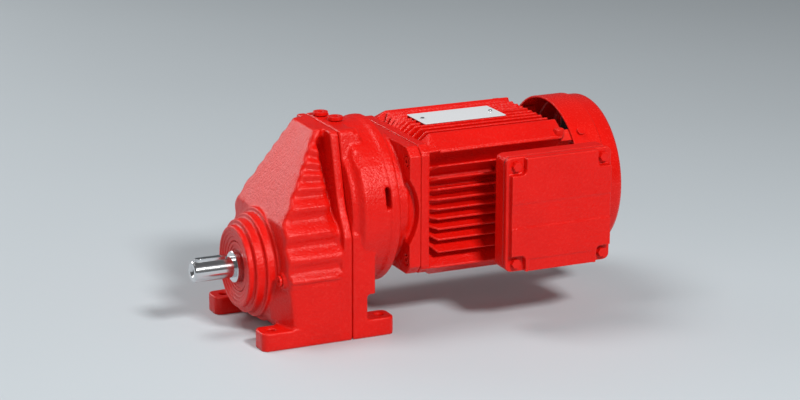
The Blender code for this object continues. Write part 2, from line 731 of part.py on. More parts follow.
def output_line(parent, steel, dark, rubber, gear_steel):
    """Output shaft with its keys, bearings, seal, spacer, circlip and helical wheel."""
    radius = SHAFT_DIAMETER / 2
    journal = JOURNAL_DIAMETER / 2
    seat = GEAR_SEAT_DIAMETER / 2
    stations = [(-SHAFT_LENGTH, radius - SHAFT_CHAMFER), (-SHAFT_LENGTH + SHAFT_CHAMFER, radius),
                (0, radius), (0, journal - 0.6), (0.6, journal), (FRONT_BEARING_END, journal),
                (FRONT_BEARING_END, journal + 3), (GEAR_START - GAP, journal + 3),
                (GEAR_START - GAP, seat), (GEAR_END, seat), (GEAR_END, REAR_BEARING_BORE / 2),
                (SHAFT_REAR - 1, REAR_BEARING_BORE / 2), (SHAFT_REAR, REAR_BEARING_BORE / 2 - 1)]
    shaft = turned("output_shaft", shaft_profile(stations), 28, parent, steel)
    drill = CENTRE_HOLE_DIAMETER / 2
    tip = -SHAFT_LENGTH
    centre_hole = turned("centre", [(tip - 1, 0), (tip - 1, drill + 3), (tip, drill + 2), (tip + 2, drill),
                                    (tip + CENTRE_HOLE_DEPTH, drill), (tip + CENTRE_HOLE_DEPTH + 2, 0)], 20)
    key_start = tip + KEY_FROM_TIP
    gear_key_start = GEAR_START + (FACE_WIDTH - GEAR_KEY_LENGTH) / 2
    cut(shaft, centre_hole,
        keyway(KEY_WIDTH + 2 * GAP, key_start - GAP, KEY_LENGTH + 2 * GAP, radius, KEY_DEPTH + GAP),
        keyway(GEAR_KEY_WIDTH + 2 * GAP, gear_key_start - GAP, GEAR_KEY_LENGTH + 2 * GAP, seat,
               GEAR_KEY_DEPTH + GAP))
    soften(shaft)
    parallel_key("output_key", KEY_WIDTH, KEY_HEIGHT, key_start, KEY_LENGTH, radius - KEY_DEPTH, parent, steel)
    parallel_key("gear_key", GEAR_KEY_WIDTH, GEAR_KEY_HEIGHT, gear_key_start, GEAR_KEY_LENGTH,
                 seat - GEAR_KEY_DEPTH, parent, dark)
    wheel = helical_gear("output_gear", WHEEL_TEETH, WHEEL_RADIUS, 0.0, 1, 1, parent, gear_steel)
    web = (WHEEL_RADIUS - 6 + seat + 7) / 2
    half_web = (WHEEL_RADIUS - 6 - seat - 7) / 2
    for side in (GEAR_START - 1, GEAR_END - 5):
        groove = turned("groove", [(side, web - half_web), (side, web + half_web), (side + 6, web + half_web),
                                   (side + 6, web - half_web)], 30)
        cut(wheel, groove)
    cut(wheel, turned("bore", [(GEAR_START - 1, 0), (GEAR_START - 1, seat + GAP), (GEAR_END + 1, seat + GAP),
                               (GEAR_END + 1, 0)], 28))
    slot_top = seat - GEAR_KEY_DEPTH + GEAR_KEY_HEIGHT + GAP
    cut(wheel, block((GEAR_START - 1, -GEAR_KEY_WIDTH / 2 - GAP, 0),
                     (GEAR_END + 1, GEAR_KEY_WIDTH / 2 + GAP, slot_top)))
    soften(wheel)
    turned("gear_spacer", ring_profile(GEAR_END + GAP, REAR_BEARING_START - GAP,
                                       REAR_BEARING_BORE / 2 + GAP, seat + 3), 24, parent, steel)


def output_supports(parent, steel, rubber):
    """Bearings and seal that carry the output shaft in the castings."""
    ball_bearing("output_bearing_front", FRONT_BEARING_START, FRONT_BEARING_WIDTH,
                 JOURNAL_DIAMETER / 2 + GAP, FRONT_BEARING_DIAMETER / 2, parent, steel)
    ball_bearing("output_bearing_rear", REAR_BEARING_START, REAR_BEARING_WIDTH,
                 REAR_BEARING_BORE / 2 + GAP, REAR_BEARING_DIAMETER / 2, parent, steel)
    oil_seal("output_oil_seal", SEAL_START, SEAL_WIDTH, JOURNAL_DIAMETER / 2 + GAP, SEAL_DIAMETER / 2,
             parent, rubber)


def ball_bearing(name, start, width, inner, outer, parent, finish):
    """Closed ball bearing: both rings joined by shields set in from the faces."""
    wall = (outer - inner) * 0.26
    depth = width * 0.1
    end = start + width
    profile = [(start, inner), (start, inner + wall), (start + depth, inner + wall),
               (start + depth, outer - wall), (start, outer - wall), (start, outer), (end, outer),
               (end, outer - wall), (end - depth, outer - wall), (end - depth, inner + wall),
               (end, inner + wall), (end, inner)]
    return soften(turned(name, profile, 18, parent, finish))


def oil_seal(name, start, width, inner, outer, parent, finish):
    """Lip seal: outer case, front face and a lip that leans towards the oil."""
    end = start + width
    step = (outer - inner) / 4
    profile = [(start + 1.2, inner + 1.2), (start + 1.2, inner + step), (start + 0.6, inner + step),
               (start + 0.6, inner + 2.5 * step), (start, inner + 2.5 * step), (start, outer),
               (end, outer), (end, outer - 2),
               (start + 2.5, outer - 2), (start + 2.5, inner + 3), (end - 1, inner + 1.8),
               (end - 2, inner), (start + 1.6, inner)]
    return soften(turned(name, profile, 24, parent, finish))


# Gears

def involute(angle):
    """Involute function."""
    return math.tan(angle) - angle


def tooth_outline(teeth, pitch_radius):
    """Transverse outline of a gear as (angle, radius), one tooth centred on angle 0."""
    transverse = math.atan(math.tan(PRESSURE_ANGLE) / math.cos(HELIX))
    base = pitch_radius * math.cos(transverse)
    tip = pitch_radius + MODULE
    root = pitch_radius - 1.25 * MODULE
    half = (math.pi * TRANSVERSE_MODULE / 2 - BACKLASH) / (2 * pitch_radius)
    flank = []
    for radius in (base, pitch_radius, tip):
        turn = half + involute(transverse) - involute(math.acos(min(base / radius, 1.0)))
        flank.append((turn, radius))
    flank[0] = (flank[0][0] * 1.04, root)
    points = []
    for index in range(teeth):
        centre = math.tau * index / teeth
        points += [(centre - turn, radius) for turn, radius in flank]
        points += [(centre + turn, radius) for turn, radius in reversed(flank)]
    return points


def helical_gear(name, teeth, pitch_radius, phase, hand, layers, parent, finish):
    """Helical gear: the outline turns steadily from face to face."""
    outline = tooth_outline(teeth, pitch_radius)
    rings = []
    for layer in range(layers + 1):
        x = GEAR_START + FACE_WIDTH * layer / layers
        twist = phase + hand * (x - GEAR_START - FACE_WIDTH / 2) * math.tan(HELIX) / pitch_radius
        rings.append([Vector((x, radius * math.sin(angle + twist), radius * math.cos(angle + twist)))
                      for angle, radius in outline])
    return loft(name, rings, parent, finish)


# Motor

def rotor_line(parent, steel, core_finish, gear_steel, plastic):
    """Rotor shaft with pinion, rotor core and fan."""
    bearing = MOTOR_BEARING_BORE / 2
    pinion_seat = PINION_BORE / 2
    body = ROTOR_SHAFT_DIAMETER / 2
    end_bearing = END_BEARING_BORE / 2
    fan_seat = FAN_BORE / 2
    stations = [(GEAR_START, pinion_seat - 0.8), (GEAR_START + 0.8, pinion_seat),
                (GEAR_END + 2, pinion_seat), (GEAR_END + 2, bearing - 2), (HUB_START - 3, bearing - 2),
                (HUB_START - 1, bearing), (MOTOR_BEARING_END, bearing), (MOTOR_BEARING_END, body),
                (END_BEARING_START, body), (END_BEARING_START, end_bearing), (END_BEARING_END + 6, end_bearing),
                (END_BEARING_END + 6, fan_seat), (FAN_END + 2, fan_seat), (FAN_END + 3, fan_seat - 1)]
    soften(turned("rotor_shaft", shaft_profile(stations), 20, parent, steel))
    phase = math.pi + math.pi / PINION_TEETH
    pinion = helical_gear("motor_pinion", PINION_TEETH, PINION_RADIUS, phase, -1, 4, parent, gear_steel)
    cut(pinion, turned("bore", [(GEAR_START - 1, 0), (GEAR_START - 1, pinion_seat + GAP),
                                (GEAR_END + 1, pinion_seat + GAP), (GEAR_END + 1, 0)], 24))
    soften(pinion)
    soften(turned("rotor_core", ring_profile(ROTOR_START, ROTOR_END, body + GAP, ROTOR_RADIUS, 1.0), 24,
                  parent, core_finish))
    fan(parent, plastic)


def fan(parent, finish):
    """Radial cooling fan: hub, disc and straight blades for either direction of turning."""
    bore = FAN_BORE / 2 + GAP
    hub = bore + 8
    disc = FAN_RADIUS * 0.62
    profile = [(FAN_START, bore), (FAN_START, hub), (FAN_START + 10, hub), (FAN_START + 12, disc),
               (FAN_START + 14, disc), (FAN_START + 14, hub + 2), (FAN_END, hub), (FAN_END, bore)]
    wheel = turned("fan", profile, 28, parent, finish)
    for index in range(FAN_BLADES):
        blade = prism("blade", [(FAN_START + 1, hub - 2), (FAN_END - 1, hub - 2), (FAN_END - 1, FAN_RADIUS),
                                (FAN_START + 5, FAN_RADIUS)], "Y", -0.9, 0.9)
        blade.data.transform(Matrix.Rotation(math.tau * index / FAN_BLADES, 4, "X"))
        add(wheel, blade)
    return soften(wheel)


def motor_supports(parent, steel, rubber, winding):
    """Bearings, seal and wound stator core inside the motor."""
    ball_bearing("motor_bearing_front", MOTOR_BEARING_START, MOTOR_BEARING_WIDTH,
                 MOTOR_BEARING_BORE / 2 + GAP, MOTOR_BEARING_DIAMETER / 2, parent, steel)
    ball_bearing("motor_bearing_rear", END_BEARING_START, END_BEARING_WIDTH,
                 END_BEARING_BORE / 2 + GAP, END_BEARING_DIAMETER / 2, parent, steel)
    oil_seal("pinion_oil_seal", HUB_START + 1, PINION_SEAL_WIDTH, MOTOR_BEARING_BORE / 2 + GAP,
             PINION_SEAL_DIAMETER / 2, parent, rubber)
    outer = FRAME_BORE - GAP
    start, end = ROTOR_START, ROTOR_END
    profile = [(start, STATOR_BORE), (start - 2, STATOR_BORE + 3), (start - WINDING_OVERHANG, STATOR_BORE + 4),
               (start - WINDING_OVERHANG, outer - 6), (start - 2, outer - 4), (start, outer),
               (end, outer), (end + 2, outer - 4), (end + WINDING_OVERHANG, outer - 6),
               (end + WINDING_OVERHANG, STATOR_BORE + 4), (end + 2, STATOR_BORE + 3), (end, STATOR_BORE)]
    soften(turned("stator_core", profile, 24, parent, winding))


def flange_outline(half_width, half_height, chamfer):
    """Rectangle with its corners cut off, seen along the motor."""
    points = []
    for y, z in ((1, 1), (-1, 1), (-1, -1), (1, -1)):
        first = (y * half_width, z * (half_height - chamfer))
        second = (y * (half_width - chamfer), z * half_height)
        points += [first, second] if y * z > 0 else [second, first]
    return points


def endshield_front(parent, finish):
    """Front endshield: bearing hub, neck to the gear housing and the eared flange."""
    spigot = DRUM_POCKET_RADIUS - GAP
    opened = HUB_RADIUS + NECK_OPENING + 2
    seat = DRUM_END + GAP
    profile = [(HUB_START, PINION_SEAL_DIAMETER / 2 + GAP), (HUB_START, HUB_RADIUS - 1),
               (HUB_START + 1, HUB_RADIUS), (seat - 5, HUB_RADIUS), (seat - 5, spigot), (seat, spigot),
               (seat, NECK_RADIUS), (FLANGE_START + 2, NECK_RADIUS), (FLANGE_START + 2, opened),
               (MOTOR_BEARING_END + SHIELD_WEB, opened),
               (MOTOR_BEARING_END + SHIELD_WEB, MOTOR_BEARING_DIAMETER / 2 + GAP),
               (MOTOR_BEARING_START, MOTOR_BEARING_DIAMETER / 2 + GAP),
               (MOTOR_BEARING_START, PINION_SEAL_DIAMETER / 2 + GAP)]
    shield = turned("endshield_front", profile, 32, parent, finish)
    plate = prism("plate", flange_outline(FRAME_HALF, FLANGE_HALF_HEIGHT, FLANGE_CHAMFER), "X",
                  FLANGE_START, FLANGE_END)
    opening = rod((0, 0), HUB_RADIUS + NECK_OPENING, FLANGE_START - 1, FLANGE_END + 1, steps=32)
    cut(plate, opening)
    centre = FLANGE_START + SCOOP_DEPTH - SCOOP_RADIUS
    for side in (-1, 1):
        near, far = sorted((side * (NECK_RADIUS - 4), side * (FRAME_HALF + 2)))
        scoop = prism("scoop", arc((centre, 0), SCOOP_RADIUS, -60, 60, 14), "Y", near, far)
        cut(plate, scoop)
    add(shield, plate)
    y, z = FLANGE_BOLT_PLACE
    for side, up in ((-1, -1), (-1, 1), (1, -1), (1, 1)):
        cut(shield, rod((side * y, up * z), FLANGE_BOLT_DIAMETER / 2 + GAP, FLANGE_START - 1, FLANGE_END + 1,
                        steps=12))
        cut(shield, rod((side * y, up * z), FLANGE_BOLT_HEAD / 2 + 2 * GAP, FLANGE_START - 1,
                        FLANGE_START + FLANGE_BOLT_HEAD_HEIGHT + GAP, steps=16))
    return soften(shield)


def frame_section(x, rise, panel_rise):
    """Outline of the finned frame at one station; both rises go from 0 at the flange to 1 at full height."""
    points = []
    top = FLANGE_HALF_HEIGHT + (FRAME_HALF - FLANGE_HALF_HEIGHT) * panel_rise
    for turn in range(4):
        reach, corner = (top, CORNER_ON_TOP) if turn % 2 else (FRAME_HALF, CORNER_ON_SIDE)
        spin = Matrix.Rotation(math.radians(90 * turn), 2)
        points += [spin @ point for point in finned_side(rise, reach, corner)]
    return [Vector((x, point.x, point.y)) for point in points]


def finned_side(rise, reach, corner):
    """One side of the frame's outline: its fins between two plain corner panels."""
    last_fin = FIN_PITCH * (FINS_PER_SIDE - 1) / 2 + FIN_ROOT / 2 / BARREL_RADIUS
    edge = max(math.atan2(corner, FRAME_HALF) - PANEL_LEAN, last_fin + PANEL_CLEARANCE)
    points = [Vector((reach, -corner)), Vector((math.cos(edge), -math.sin(edge))) * BARREL_RADIUS]
    for index in range(FINS_PER_SIDE):
        angle = FIN_PITCH * (index - (FINS_PER_SIDE - 1) / 2)
        tip = BARREL_RADIUS + 1.5 + (FRAME_HALF / math.cos(angle) - BARREL_RADIUS - 1.5) * rise
        across = Vector((-math.sin(angle), math.cos(angle)))
        along = Vector((math.cos(angle), math.sin(angle)))
        full = FRAME_HALF / math.cos(angle)
        thick = FIN_ROOT + (FIN_TIP - FIN_ROOT) * between(tip, BARREL_RADIUS, full)
        root = along * BARREL_RADIUS
        point = along * tip
        points += [root - across * FIN_ROOT / 2, point - across * thick / 2,
                   point + across * thick / 2, root + across * FIN_ROOT / 2]
    points += [Vector((math.cos(edge), math.sin(edge))) * BARREL_RADIUS, Vector((reach, corner))]
    return points


def stator_frame(parent, finish):
    """Finned motor frame with its end flange and the pad for the terminal box."""
    body = loft("stator_frame", [frame_section(FRAME_START + 2, 0.0, 0.0),
                                 frame_section(FRAME_START + FRAME_FLANGE, 0.25, 0.1),
                                 frame_section(FRAME_START + FRAME_FLANGE + FIN_RUNOUT, 1.0, 1.0),
                                 frame_section(FRAME_END - 5, 1.0, 1.0), frame_section(FRAME_END, 0.45, 1.0)],
                parent, finish)
    flange = prism("flange", flange_outline(FRAME_HALF, FLANGE_HALF_HEIGHT + 0.5, FLANGE_CHAMFER), "X",
                   FRAME_START, FRAME_START + FRAME_FLANGE)
    pad = block((BOX_CENTRE - BOX_PAD_HALF, -BOX_SEAT, BOX_HEIGHT - MOTOR_HEIGHT - BOX_PAD_HALF),
                (FRAME_END - 3, -FRAME_BORE - 2, BOX_HEIGHT - MOTOR_HEIGHT + BOX_PAD_HALF))
    add(body, flange, pad)
    bore = rod((0, 0), FRAME_BORE, FRAME_START - 1, FRAME_END + 1, steps=36)
    wires = block((BOX_CENTRE - WIRE_OPENING, -BOX_SEAT - 1, -WIRE_OPENING),
                  (BOX_CENTRE + WIRE_OPENING, -FRAME_BORE + 6, WIRE_OPENING))
    cut(body, bore, wires)
    y, z = FLANGE_BOLT_PLACE
    for side, up in ((-1, -1), (-1, 1), (1, -1), (1, 1)):
        cut(body, rod((side * y, up * z), FLANGE_BOLT_DIAMETER / 2 + GAP, FRAME_START - 1,
                      FRAME_START + FRAME_FLANGE - 1, steps=12))
    return soften(body)


def cowl_ring(x, offset):
    """One ring of the cowl, offset outwards from its front radius."""
    return lift(circle((0, 0), COWL_RADIUS + offset, COWL_STEPS), "X", x)


def endshield_rear(parent, finish):
    """Rear endshield: bearing hub, disc and four lugs for the cowl."""
    hub = END_BEARING_DIAMETER / 2 + 6
    inside = END_BEARING_BORE / 2 + 2
    profile = [(END_BEARING_START, END_BEARING_DIAMETER / 2 + GAP), (END_BEARING_START, hub),
               (SHIELD_START - 4, hub + 3), (SHIELD_START - 4, FRAME_BORE - GAP), (SHIELD_START, FRAME_BORE - GAP),
               (SHIELD_START, BARREL_RADIUS), (SHIELD_END - 3, BARREL_RADIUS), (SHIELD_END, BARREL_RADIUS - 4),
               (SHIELD_END, inside), (END_BEARING_END, inside), (END_BEARING_END, END_BEARING_DIAMETER / 2 + GAP)]
    shield = turned("endshield_rear", profile, 28, parent, finish)
    reach = COWL_RADIUS - COWL_WALL - LUG_CLEARANCE
    for index in range(4):
        lug = block((SHIELD_START, -LUG_WIDTH / 2, BARREL_RADIUS - 8),
                    (SHIELD_START + LUG_LENGTH, LUG_WIDTH / 2, reach))
        hole = rod((SHIELD_START + LUG_LENGTH - 6, 0), 1.8 + GAP, reach - 10, reach + 2, "Z", 10)
        cut(lug, hole)
        turn = Matrix.Rotation(math.radians(45 + 90 * index), 4, "X")
        lug.data.transform(turn)
        add(shield, lug)
    return soften(shield)


def grille_slots():
    """Ring-shaped slots of the air intake, broken by spokes."""
    bm = bmesh.new()
    for ring in range(GRILLE_RINGS):
        radius = 12 + GRILLE_PITCH * ring
        spoke = math.degrees(3.5 / (radius + GRILLE_SLOT / 2))
        for index in range(GRILLE_SPOKES):
            start = 360 / GRILLE_SPOKES * index + spoke / 2
            end = 360 / GRILLE_SPOKES * (index + 1) - spoke / 2
            steps = 3 + ring
            outline = arc((0, 0), radius + GRILLE_SLOT, start, end, steps)
            outline += arc((0, 0), radius, end, start, steps)
            prism_mesh(bm, outline, "X", COWL_END - 5, COWL_END + 2)
    return piece("slots", bm)


def fan_cowl(parent, finish):
    """Pressed fan cowl: round wall, step, turned-in rear edge and slotted intake."""
    inner = -COWL_WALL - COWL_STEP_IN
    cowl = loft("fan_cowl", [cowl_ring(COWL_START, 0), cowl_ring(COWL_STEP, 0),
                             cowl_ring(COWL_STEP + 1, -COWL_STEP_IN), cowl_ring(COWL_BEND, -COWL_STEP_IN),
                             cowl_ring(COWL_BEND + 3.5, -COWL_STEP_IN - 1.8),
                             cowl_ring(COWL_END - 1.0, -COWL_STEP_IN - 4.6),
                             cowl_ring(COWL_END, -COWL_STEP_IN - 7.2)], parent, finish)
    inside = loft("inside", [cowl_ring(COWL_START - 2, -COWL_WALL), cowl_ring(COWL_STEP - 1, -COWL_WALL),
                             cowl_ring(COWL_STEP, inner), cowl_ring(COWL_BEND, inner),
                             cowl_ring(COWL_END - COWL_WALL, inner - 5.0)])
    cut(cowl, inside, grille_slots())
    reach = COWL_RADIUS
    for index in range(4):
        hole = rod((SHIELD_START + LUG_LENGTH - 6, 0), 1.8 + GAP, reach - 8, reach + 4, "Z", 10)
        hole.data.transform(Matrix.Rotation(math.radians(45 + 90 * index), 4, "X"))
        cut(cowl, hole)
    return soften(cowl)


# Terminal box

def box_outline(shrink=0.0):
    """Outline of the terminal box as (x, z), shrunk on every side."""
    half = BOX_SIDE / 2 - shrink
    radius = max(BOX_CORNER - shrink, 2.0)
    low = (BOX_CENTRE - half, BOX_HEIGHT - half)
    return rounded_box(low, (BOX_CENTRE + half, BOX_HEIGHT + half), radius)


def screw_places():
    """Centres of the four cover screws as (x, z)."""
    across, up = COVER_SCREW_SPACING
    return [(BOX_CENTRE + side * across / 2, BOX_HEIGHT + rise * up / 2)
            for side in (-1, 1) for rise in (-1, 1)]


def terminal_box_base(parent, finish):
    """Open box base with its neck on the frame pad, screw posts and two threaded entries."""
    base = prism("terminal_box_base", box_outline(0.4), "Y", -BOX_BACK, -BOX_JOINT, parent, finish)
    neck_half = BOX_PAD_HALF - 2
    neck = rounded_box((BOX_CENTRE - neck_half, BOX_HEIGHT - neck_half),
                       (FRAME_END - 4, BOX_HEIGHT + neck_half), 4)
    add(base, prism("neck", neck, "Y", -BOX_SEAT - GAP, -BOX_BACK - 2))
    hollow = prism("hollow", box_outline(BOX_WALL), "Y", -BOX_BACK - 3, -BOX_JOINT - 2)
    for x, z in screw_places():
        corner = block((min(x, BOX_CENTRE + math.copysign(80, x - BOX_CENTRE)) if x < BOX_CENTRE else x - 6,
                        -BOX_JOINT - 3, z - 6 if z > BOX_HEIGHT else z - 30),
                       (x + 6 if x < BOX_CENTRE else x + 30, -BOX_BACK + 2, z + 30 if z > BOX_HEIGHT else z + 6))
        cut(hollow, corner)
    cut(base, hollow)
    cut(base, block((BOX_CENTRE - WIRE_OPENING, -BOX_BACK - 5, BOX_HEIGHT - WIRE_OPENING),
                    (BOX_CENTRE + WIRE_OPENING, -BOX_SEAT + 2, BOX_HEIGHT + WIRE_OPENING)))
    for x, z in screw_places():
        cut(base, rod((x, z), 2.0 + GAP, -BOX_JOINT - 2, -BOX_BACK - 6, "Y", 10))
    middle = -(BOX_BACK + BOX_JOINT) / 2
    bottom = BOX_HEIGHT - BOX_SIDE / 2
    for side in (-1, 1):
        hole = rod((BOX_CENTRE + side * ENTRY_SPACING / 2, middle), ENTRY_DIAMETER / 4 + GAP,
                   bottom - 2, bottom + BOX_WALL + 4, "Z", 20)
        cut(base, hole)
    return soften(base)


def terminal_box_gasket(parent, finish):
    """Flat frame gasket between box and cover."""
    start = -BOX_JOINT - GAP
    gasket = prism("terminal_box_gasket", box_outline(0.8), "Y", start, start - GASKET, parent, finish)
    inner = rounded_box((BOX_CENTRE - BOX_SIDE / 2 + 14, BOX_HEIGHT - BOX_SIDE / 2 + 14),
                        (BOX_CENTRE + BOX_SIDE / 2 - 14, BOX_HEIGHT + BOX_SIDE / 2 - 14), 6)
    cut(gasket, prism("inner", inner, "Y", start + 1, start - GASKET - 1))
    for x, z in screw_places():
        cut(gasket, rod((x, z), 2.0 + GAP, start + 1, start - GASKET - 1, "Y", 10))
    return gasket


def terminal_box_cover(parent, finish):
    """Cast cover: corner flanges for the screws, raised panel and bare middle band."""
    back = -BOX_JOINT - GASKET - 2 * GAP
    flange = back - COVER_FLANGE
    cover = prism("terminal_box_cover", box_outline(), "Y", back, flange, parent, finish)
    half = BOX_SIDE / 2
    width, height = COVER_POCKET
    left, right = BOX_CENTRE - half + COVER_INSET, BOX_CENTRE + half - COVER_INSET
    bottom, top = BOX_HEIGHT - half + 0.6, BOX_HEIGHT + half - 0.6
    round_in = 5.0
    panel = []
    corners = ((right, top, -1, -1), (left, top, 1, -1), (left, bottom, 1, 1), (right, bottom, -1, 1))
    for x, z, to_x, to_z in corners:
        inner_x, inner_z = x + to_x * (width - COVER_INSET), z + to_z * height
        centre = (inner_x - to_x * round_in, inner_z - to_z * round_in)
        start = math.degrees(math.atan2(0, to_x))
        rounding = [(centre[0] + to_x * round_in * math.cos(t), centre[1] + to_z * round_in * math.sin(t))
                    for t in (0, math.pi / 8, math.pi / 4, 3 * math.pi / 8, math.pi / 2)]
        side = [(inner_x, z)] + rounding + [(x, inner_z)]
        panel += side if to_x * to_z < 0 else list(reversed(side))
    add(cover, prism("panel", panel, "Y", flange + 1, -BOX_FRONT))
    low, high = COVER_BAND
    cut(cover, block((left - 1, -BOX_FRONT - 1, BOX_HEIGHT + low),
                     (right + 1, -BOX_FRONT + COVER_BAND_DEPTH, BOX_HEIGHT + high)))
    cut(cover, block((left + width, -BOX_FRONT - 1, bottom - 1),
                     (right - width, -BOX_FRONT + 0.8, bottom + COVER_STRIP)))
    inner = half - COVER_HOLLOW_INSET
    hollow = rounded_box((BOX_CENTRE - inner, BOX_HEIGHT - inner), (BOX_CENTRE + inner, BOX_HEIGHT + inner), 5)
    cut(cover, prism("hollow", hollow, "Y", back + 2, -BOX_FRONT + BOX_WALL))
    for x, z in screw_places():
        cut(cover, rod((x, z), 2.0 + GAP, back + 1, flange - 1, "Y", 10))
    return soften(cover)


def terminal_board(parent, finish):
    """Moulded terminal board with six studs."""
    back = -BOX_BACK - 3 - GAP
    x, z = BOX_CENTRE + BOARD_OFFSET, BOX_HEIGHT
    half_length, half_height = BOARD_SIZE[0] / 2, BOARD_SIZE[1] / 2
    outline = rounded_box((x - half_length, z - half_height), (x + half_length, z + half_height), 3)
    board = prism("terminal_board", outline, "Y", back, back - BOARD_THICKNESS, parent, finish)
    across, up = STUD_SPACING
    for row in (-1, 0, 1):
        for column in (-0.5, 0.5):
            add(board, rod((x + column * across, z + row * up), 2.0, back - BOARD_THICKNESS + 1,
                           back - BOARD_THICKNESS - STUD_HEIGHT, "Y", 10))
    return soften(board)


# Fasteners and small pieces

def screw(name, head_radius, head_height, shank_radius, length, sides, parent, finish, socket=0.0):
    """Screw along X: the head sits at x = 0 and points to -X, the shank goes to +X."""
    made = prism(name, circle((0, 0), head_radius, sides), "X", -head_height, 0, parent, finish)
    add(made, rod((0, 0), shank_radius, -0.5, length, steps=10))
    if socket:
        cut(made, rod((0, 0), socket, -head_height - 1, -head_height * 0.4, steps=6))
    return made


def aim(obj, direction, place):
    """Turn a screw so that its shank points along a direction, and put it in place."""
    turn = Vector((1, 0, 0)).rotation_difference(Vector(direction)).to_matrix().to_4x4()
    obj.data.transform(Matrix.Translation(Vector(place) * MM) @ turn)
    return soften(obj)


def fasteners(parent, motor, painted, steel):
    """Screws, bolts and plugs, one object each."""
    radius, head = BOLT_DIAMETER / 2, BOLT_HEAD_DIAMETER / 2
    for number, (y, z, seat) in enumerate(housing_bolt_seats(), 1):
        bolt = screw(f"housing_bolt_{number}", head, BOLT_HEAD_HEIGHT, radius,
                     seat - SPLIT + HOUSING_BOLT_GRIP, 16, parent, steel, 2.8)
        aim(bolt, (-1, 0, 0), (seat + GAP, y, z))
    y, z = FLANGE_BOLT_PLACE
    for number, (side, up) in enumerate(((-1, -1), (-1, 1), (1, -1), (1, 1)), 1):
        seat = FLANGE_START + FLANGE_BOLT_HEAD_HEIGHT
        bolt = screw(f"flange_bolt_{number}", FLANGE_BOLT_HEAD / 2, FLANGE_BOLT_HEAD_HEIGHT,
                     FLANGE_BOLT_DIAMETER / 2, FLANGE_END - seat + FRAME_FLANGE - 3, 16, motor, steel, 2.2)
        aim(bolt, (1, 0, 0), (seat, side * y, up * z))
    reach = COWL_RADIUS + GAP
    for index in range(4):
        bolt = screw(f"cowl_screw_{index + 1}", COWL_SCREW_HEAD / 2, COWL_SCREW_HEIGHT, 1.8, 9.0, 18, motor,
                     painted)
        angle = math.radians(45 + 90 * index)
        out = Vector((0, -math.sin(angle), math.cos(angle)))
        aim(bolt, -out, Vector((SHIELD_START + LUG_LENGTH - 6, 0, 0)) + out * reach)
    seat = BOX_JOINT + GASKET + 3 * GAP + COVER_FLANGE
    for number, (x, z) in enumerate(screw_places(), 1):
        bolt = screw(f"cover_screw_{number}", COVER_SCREW_HEAD / math.sqrt(3), 4.2, 2.0,
                     COVER_SCREW_LENGTH, 6, parent, painted)
        aim(bolt, (0, 1, 0), (x, -seat, z))


def plugs(parent, painted, plastic):
    """Oil plugs of the gear housing and blanking plugs of the terminal box."""
    for name, (x, y) in zip(("breather_plug", "filler_plug"), TOP_PLUGS):
        plug = screw(name, PLUG_DIAMETER / 2, PLUG_HEIGHT, PLUG_DIAMETER / 2 - 2, PLUG_THREAD_LENGTH - 1.5, 28,
                     parent, painted, PLUG_SOCKET / math.sqrt(3))
        aim(plug, (0, 0, -1), (x, y, TOP_HEIGHT + 0.8 + GAP))
    level = screw("oil_level_plug", LEVEL_PLUG_DIAMETER / 2, 2.4, LEVEL_PLUG_DIAMETER / 2 - 1.5,
                  PLUG_THREAD_LENGTH - 1.5, 24, parent, painted, 2.5)
    aim(level, (1, 0, 0), (LEVEL_PAD_FRONT - GAP, LEVEL_PLUG_Y, SHAFT_HEIGHT))
    middle = -(BOX_BACK + BOX_JOINT) / 2
    bottom = BOX_HEIGHT - BOX_SIDE / 2 + 0.4
    for number, side in enumerate((-1, 1), 1):
        plug = screw(f"cable_entry_plug_{number}", ENTRY_DIAMETER / 4 + 1.2, ENTRY_HEAD, ENTRY_DIAMETER / 4,
                     BOX_WALL + 1, 6, parent, plastic)
        aim(plug, (0, 0, 1), (BOX_CENTRE + side * ENTRY_SPACING / 2, middle, bottom - GAP))


def nameplate(parent, finish, rivet_finish):
    """Blank plate on the top fins, held by two rivets."""
    bottom = MOTOR_HEIGHT + FRAME_HALF + GAP
    half = PLATE_WIDTH / 2
    end = PLATE_START + PLATE_LENGTH
    plate = prism("nameplate", rounded_box((PLATE_START, -half), (end, half), 1.0, 2), "Z", bottom,
                  bottom + PLATE_THICKNESS, parent, finish)
    for number, x in enumerate((PLATE_START + 7, end - 7), 1):
        cut(plate, rod((x, 0), 1.1 + GAP, bottom - 1, bottom + 3, "Z", 12))
        rivet = prism(f"nameplate_rivet_{number}", circle((x, 0), 1.1, 12), "Z", bottom,
                      bottom + PLATE_THICKNESS + 0.5, parent, rivet_finish)
        add(rivet, rod((x, 0), 2.0, bottom + PLATE_THICKNESS + GAP, bottom + PLATE_THICKNESS + 1.0, "Z", 12))


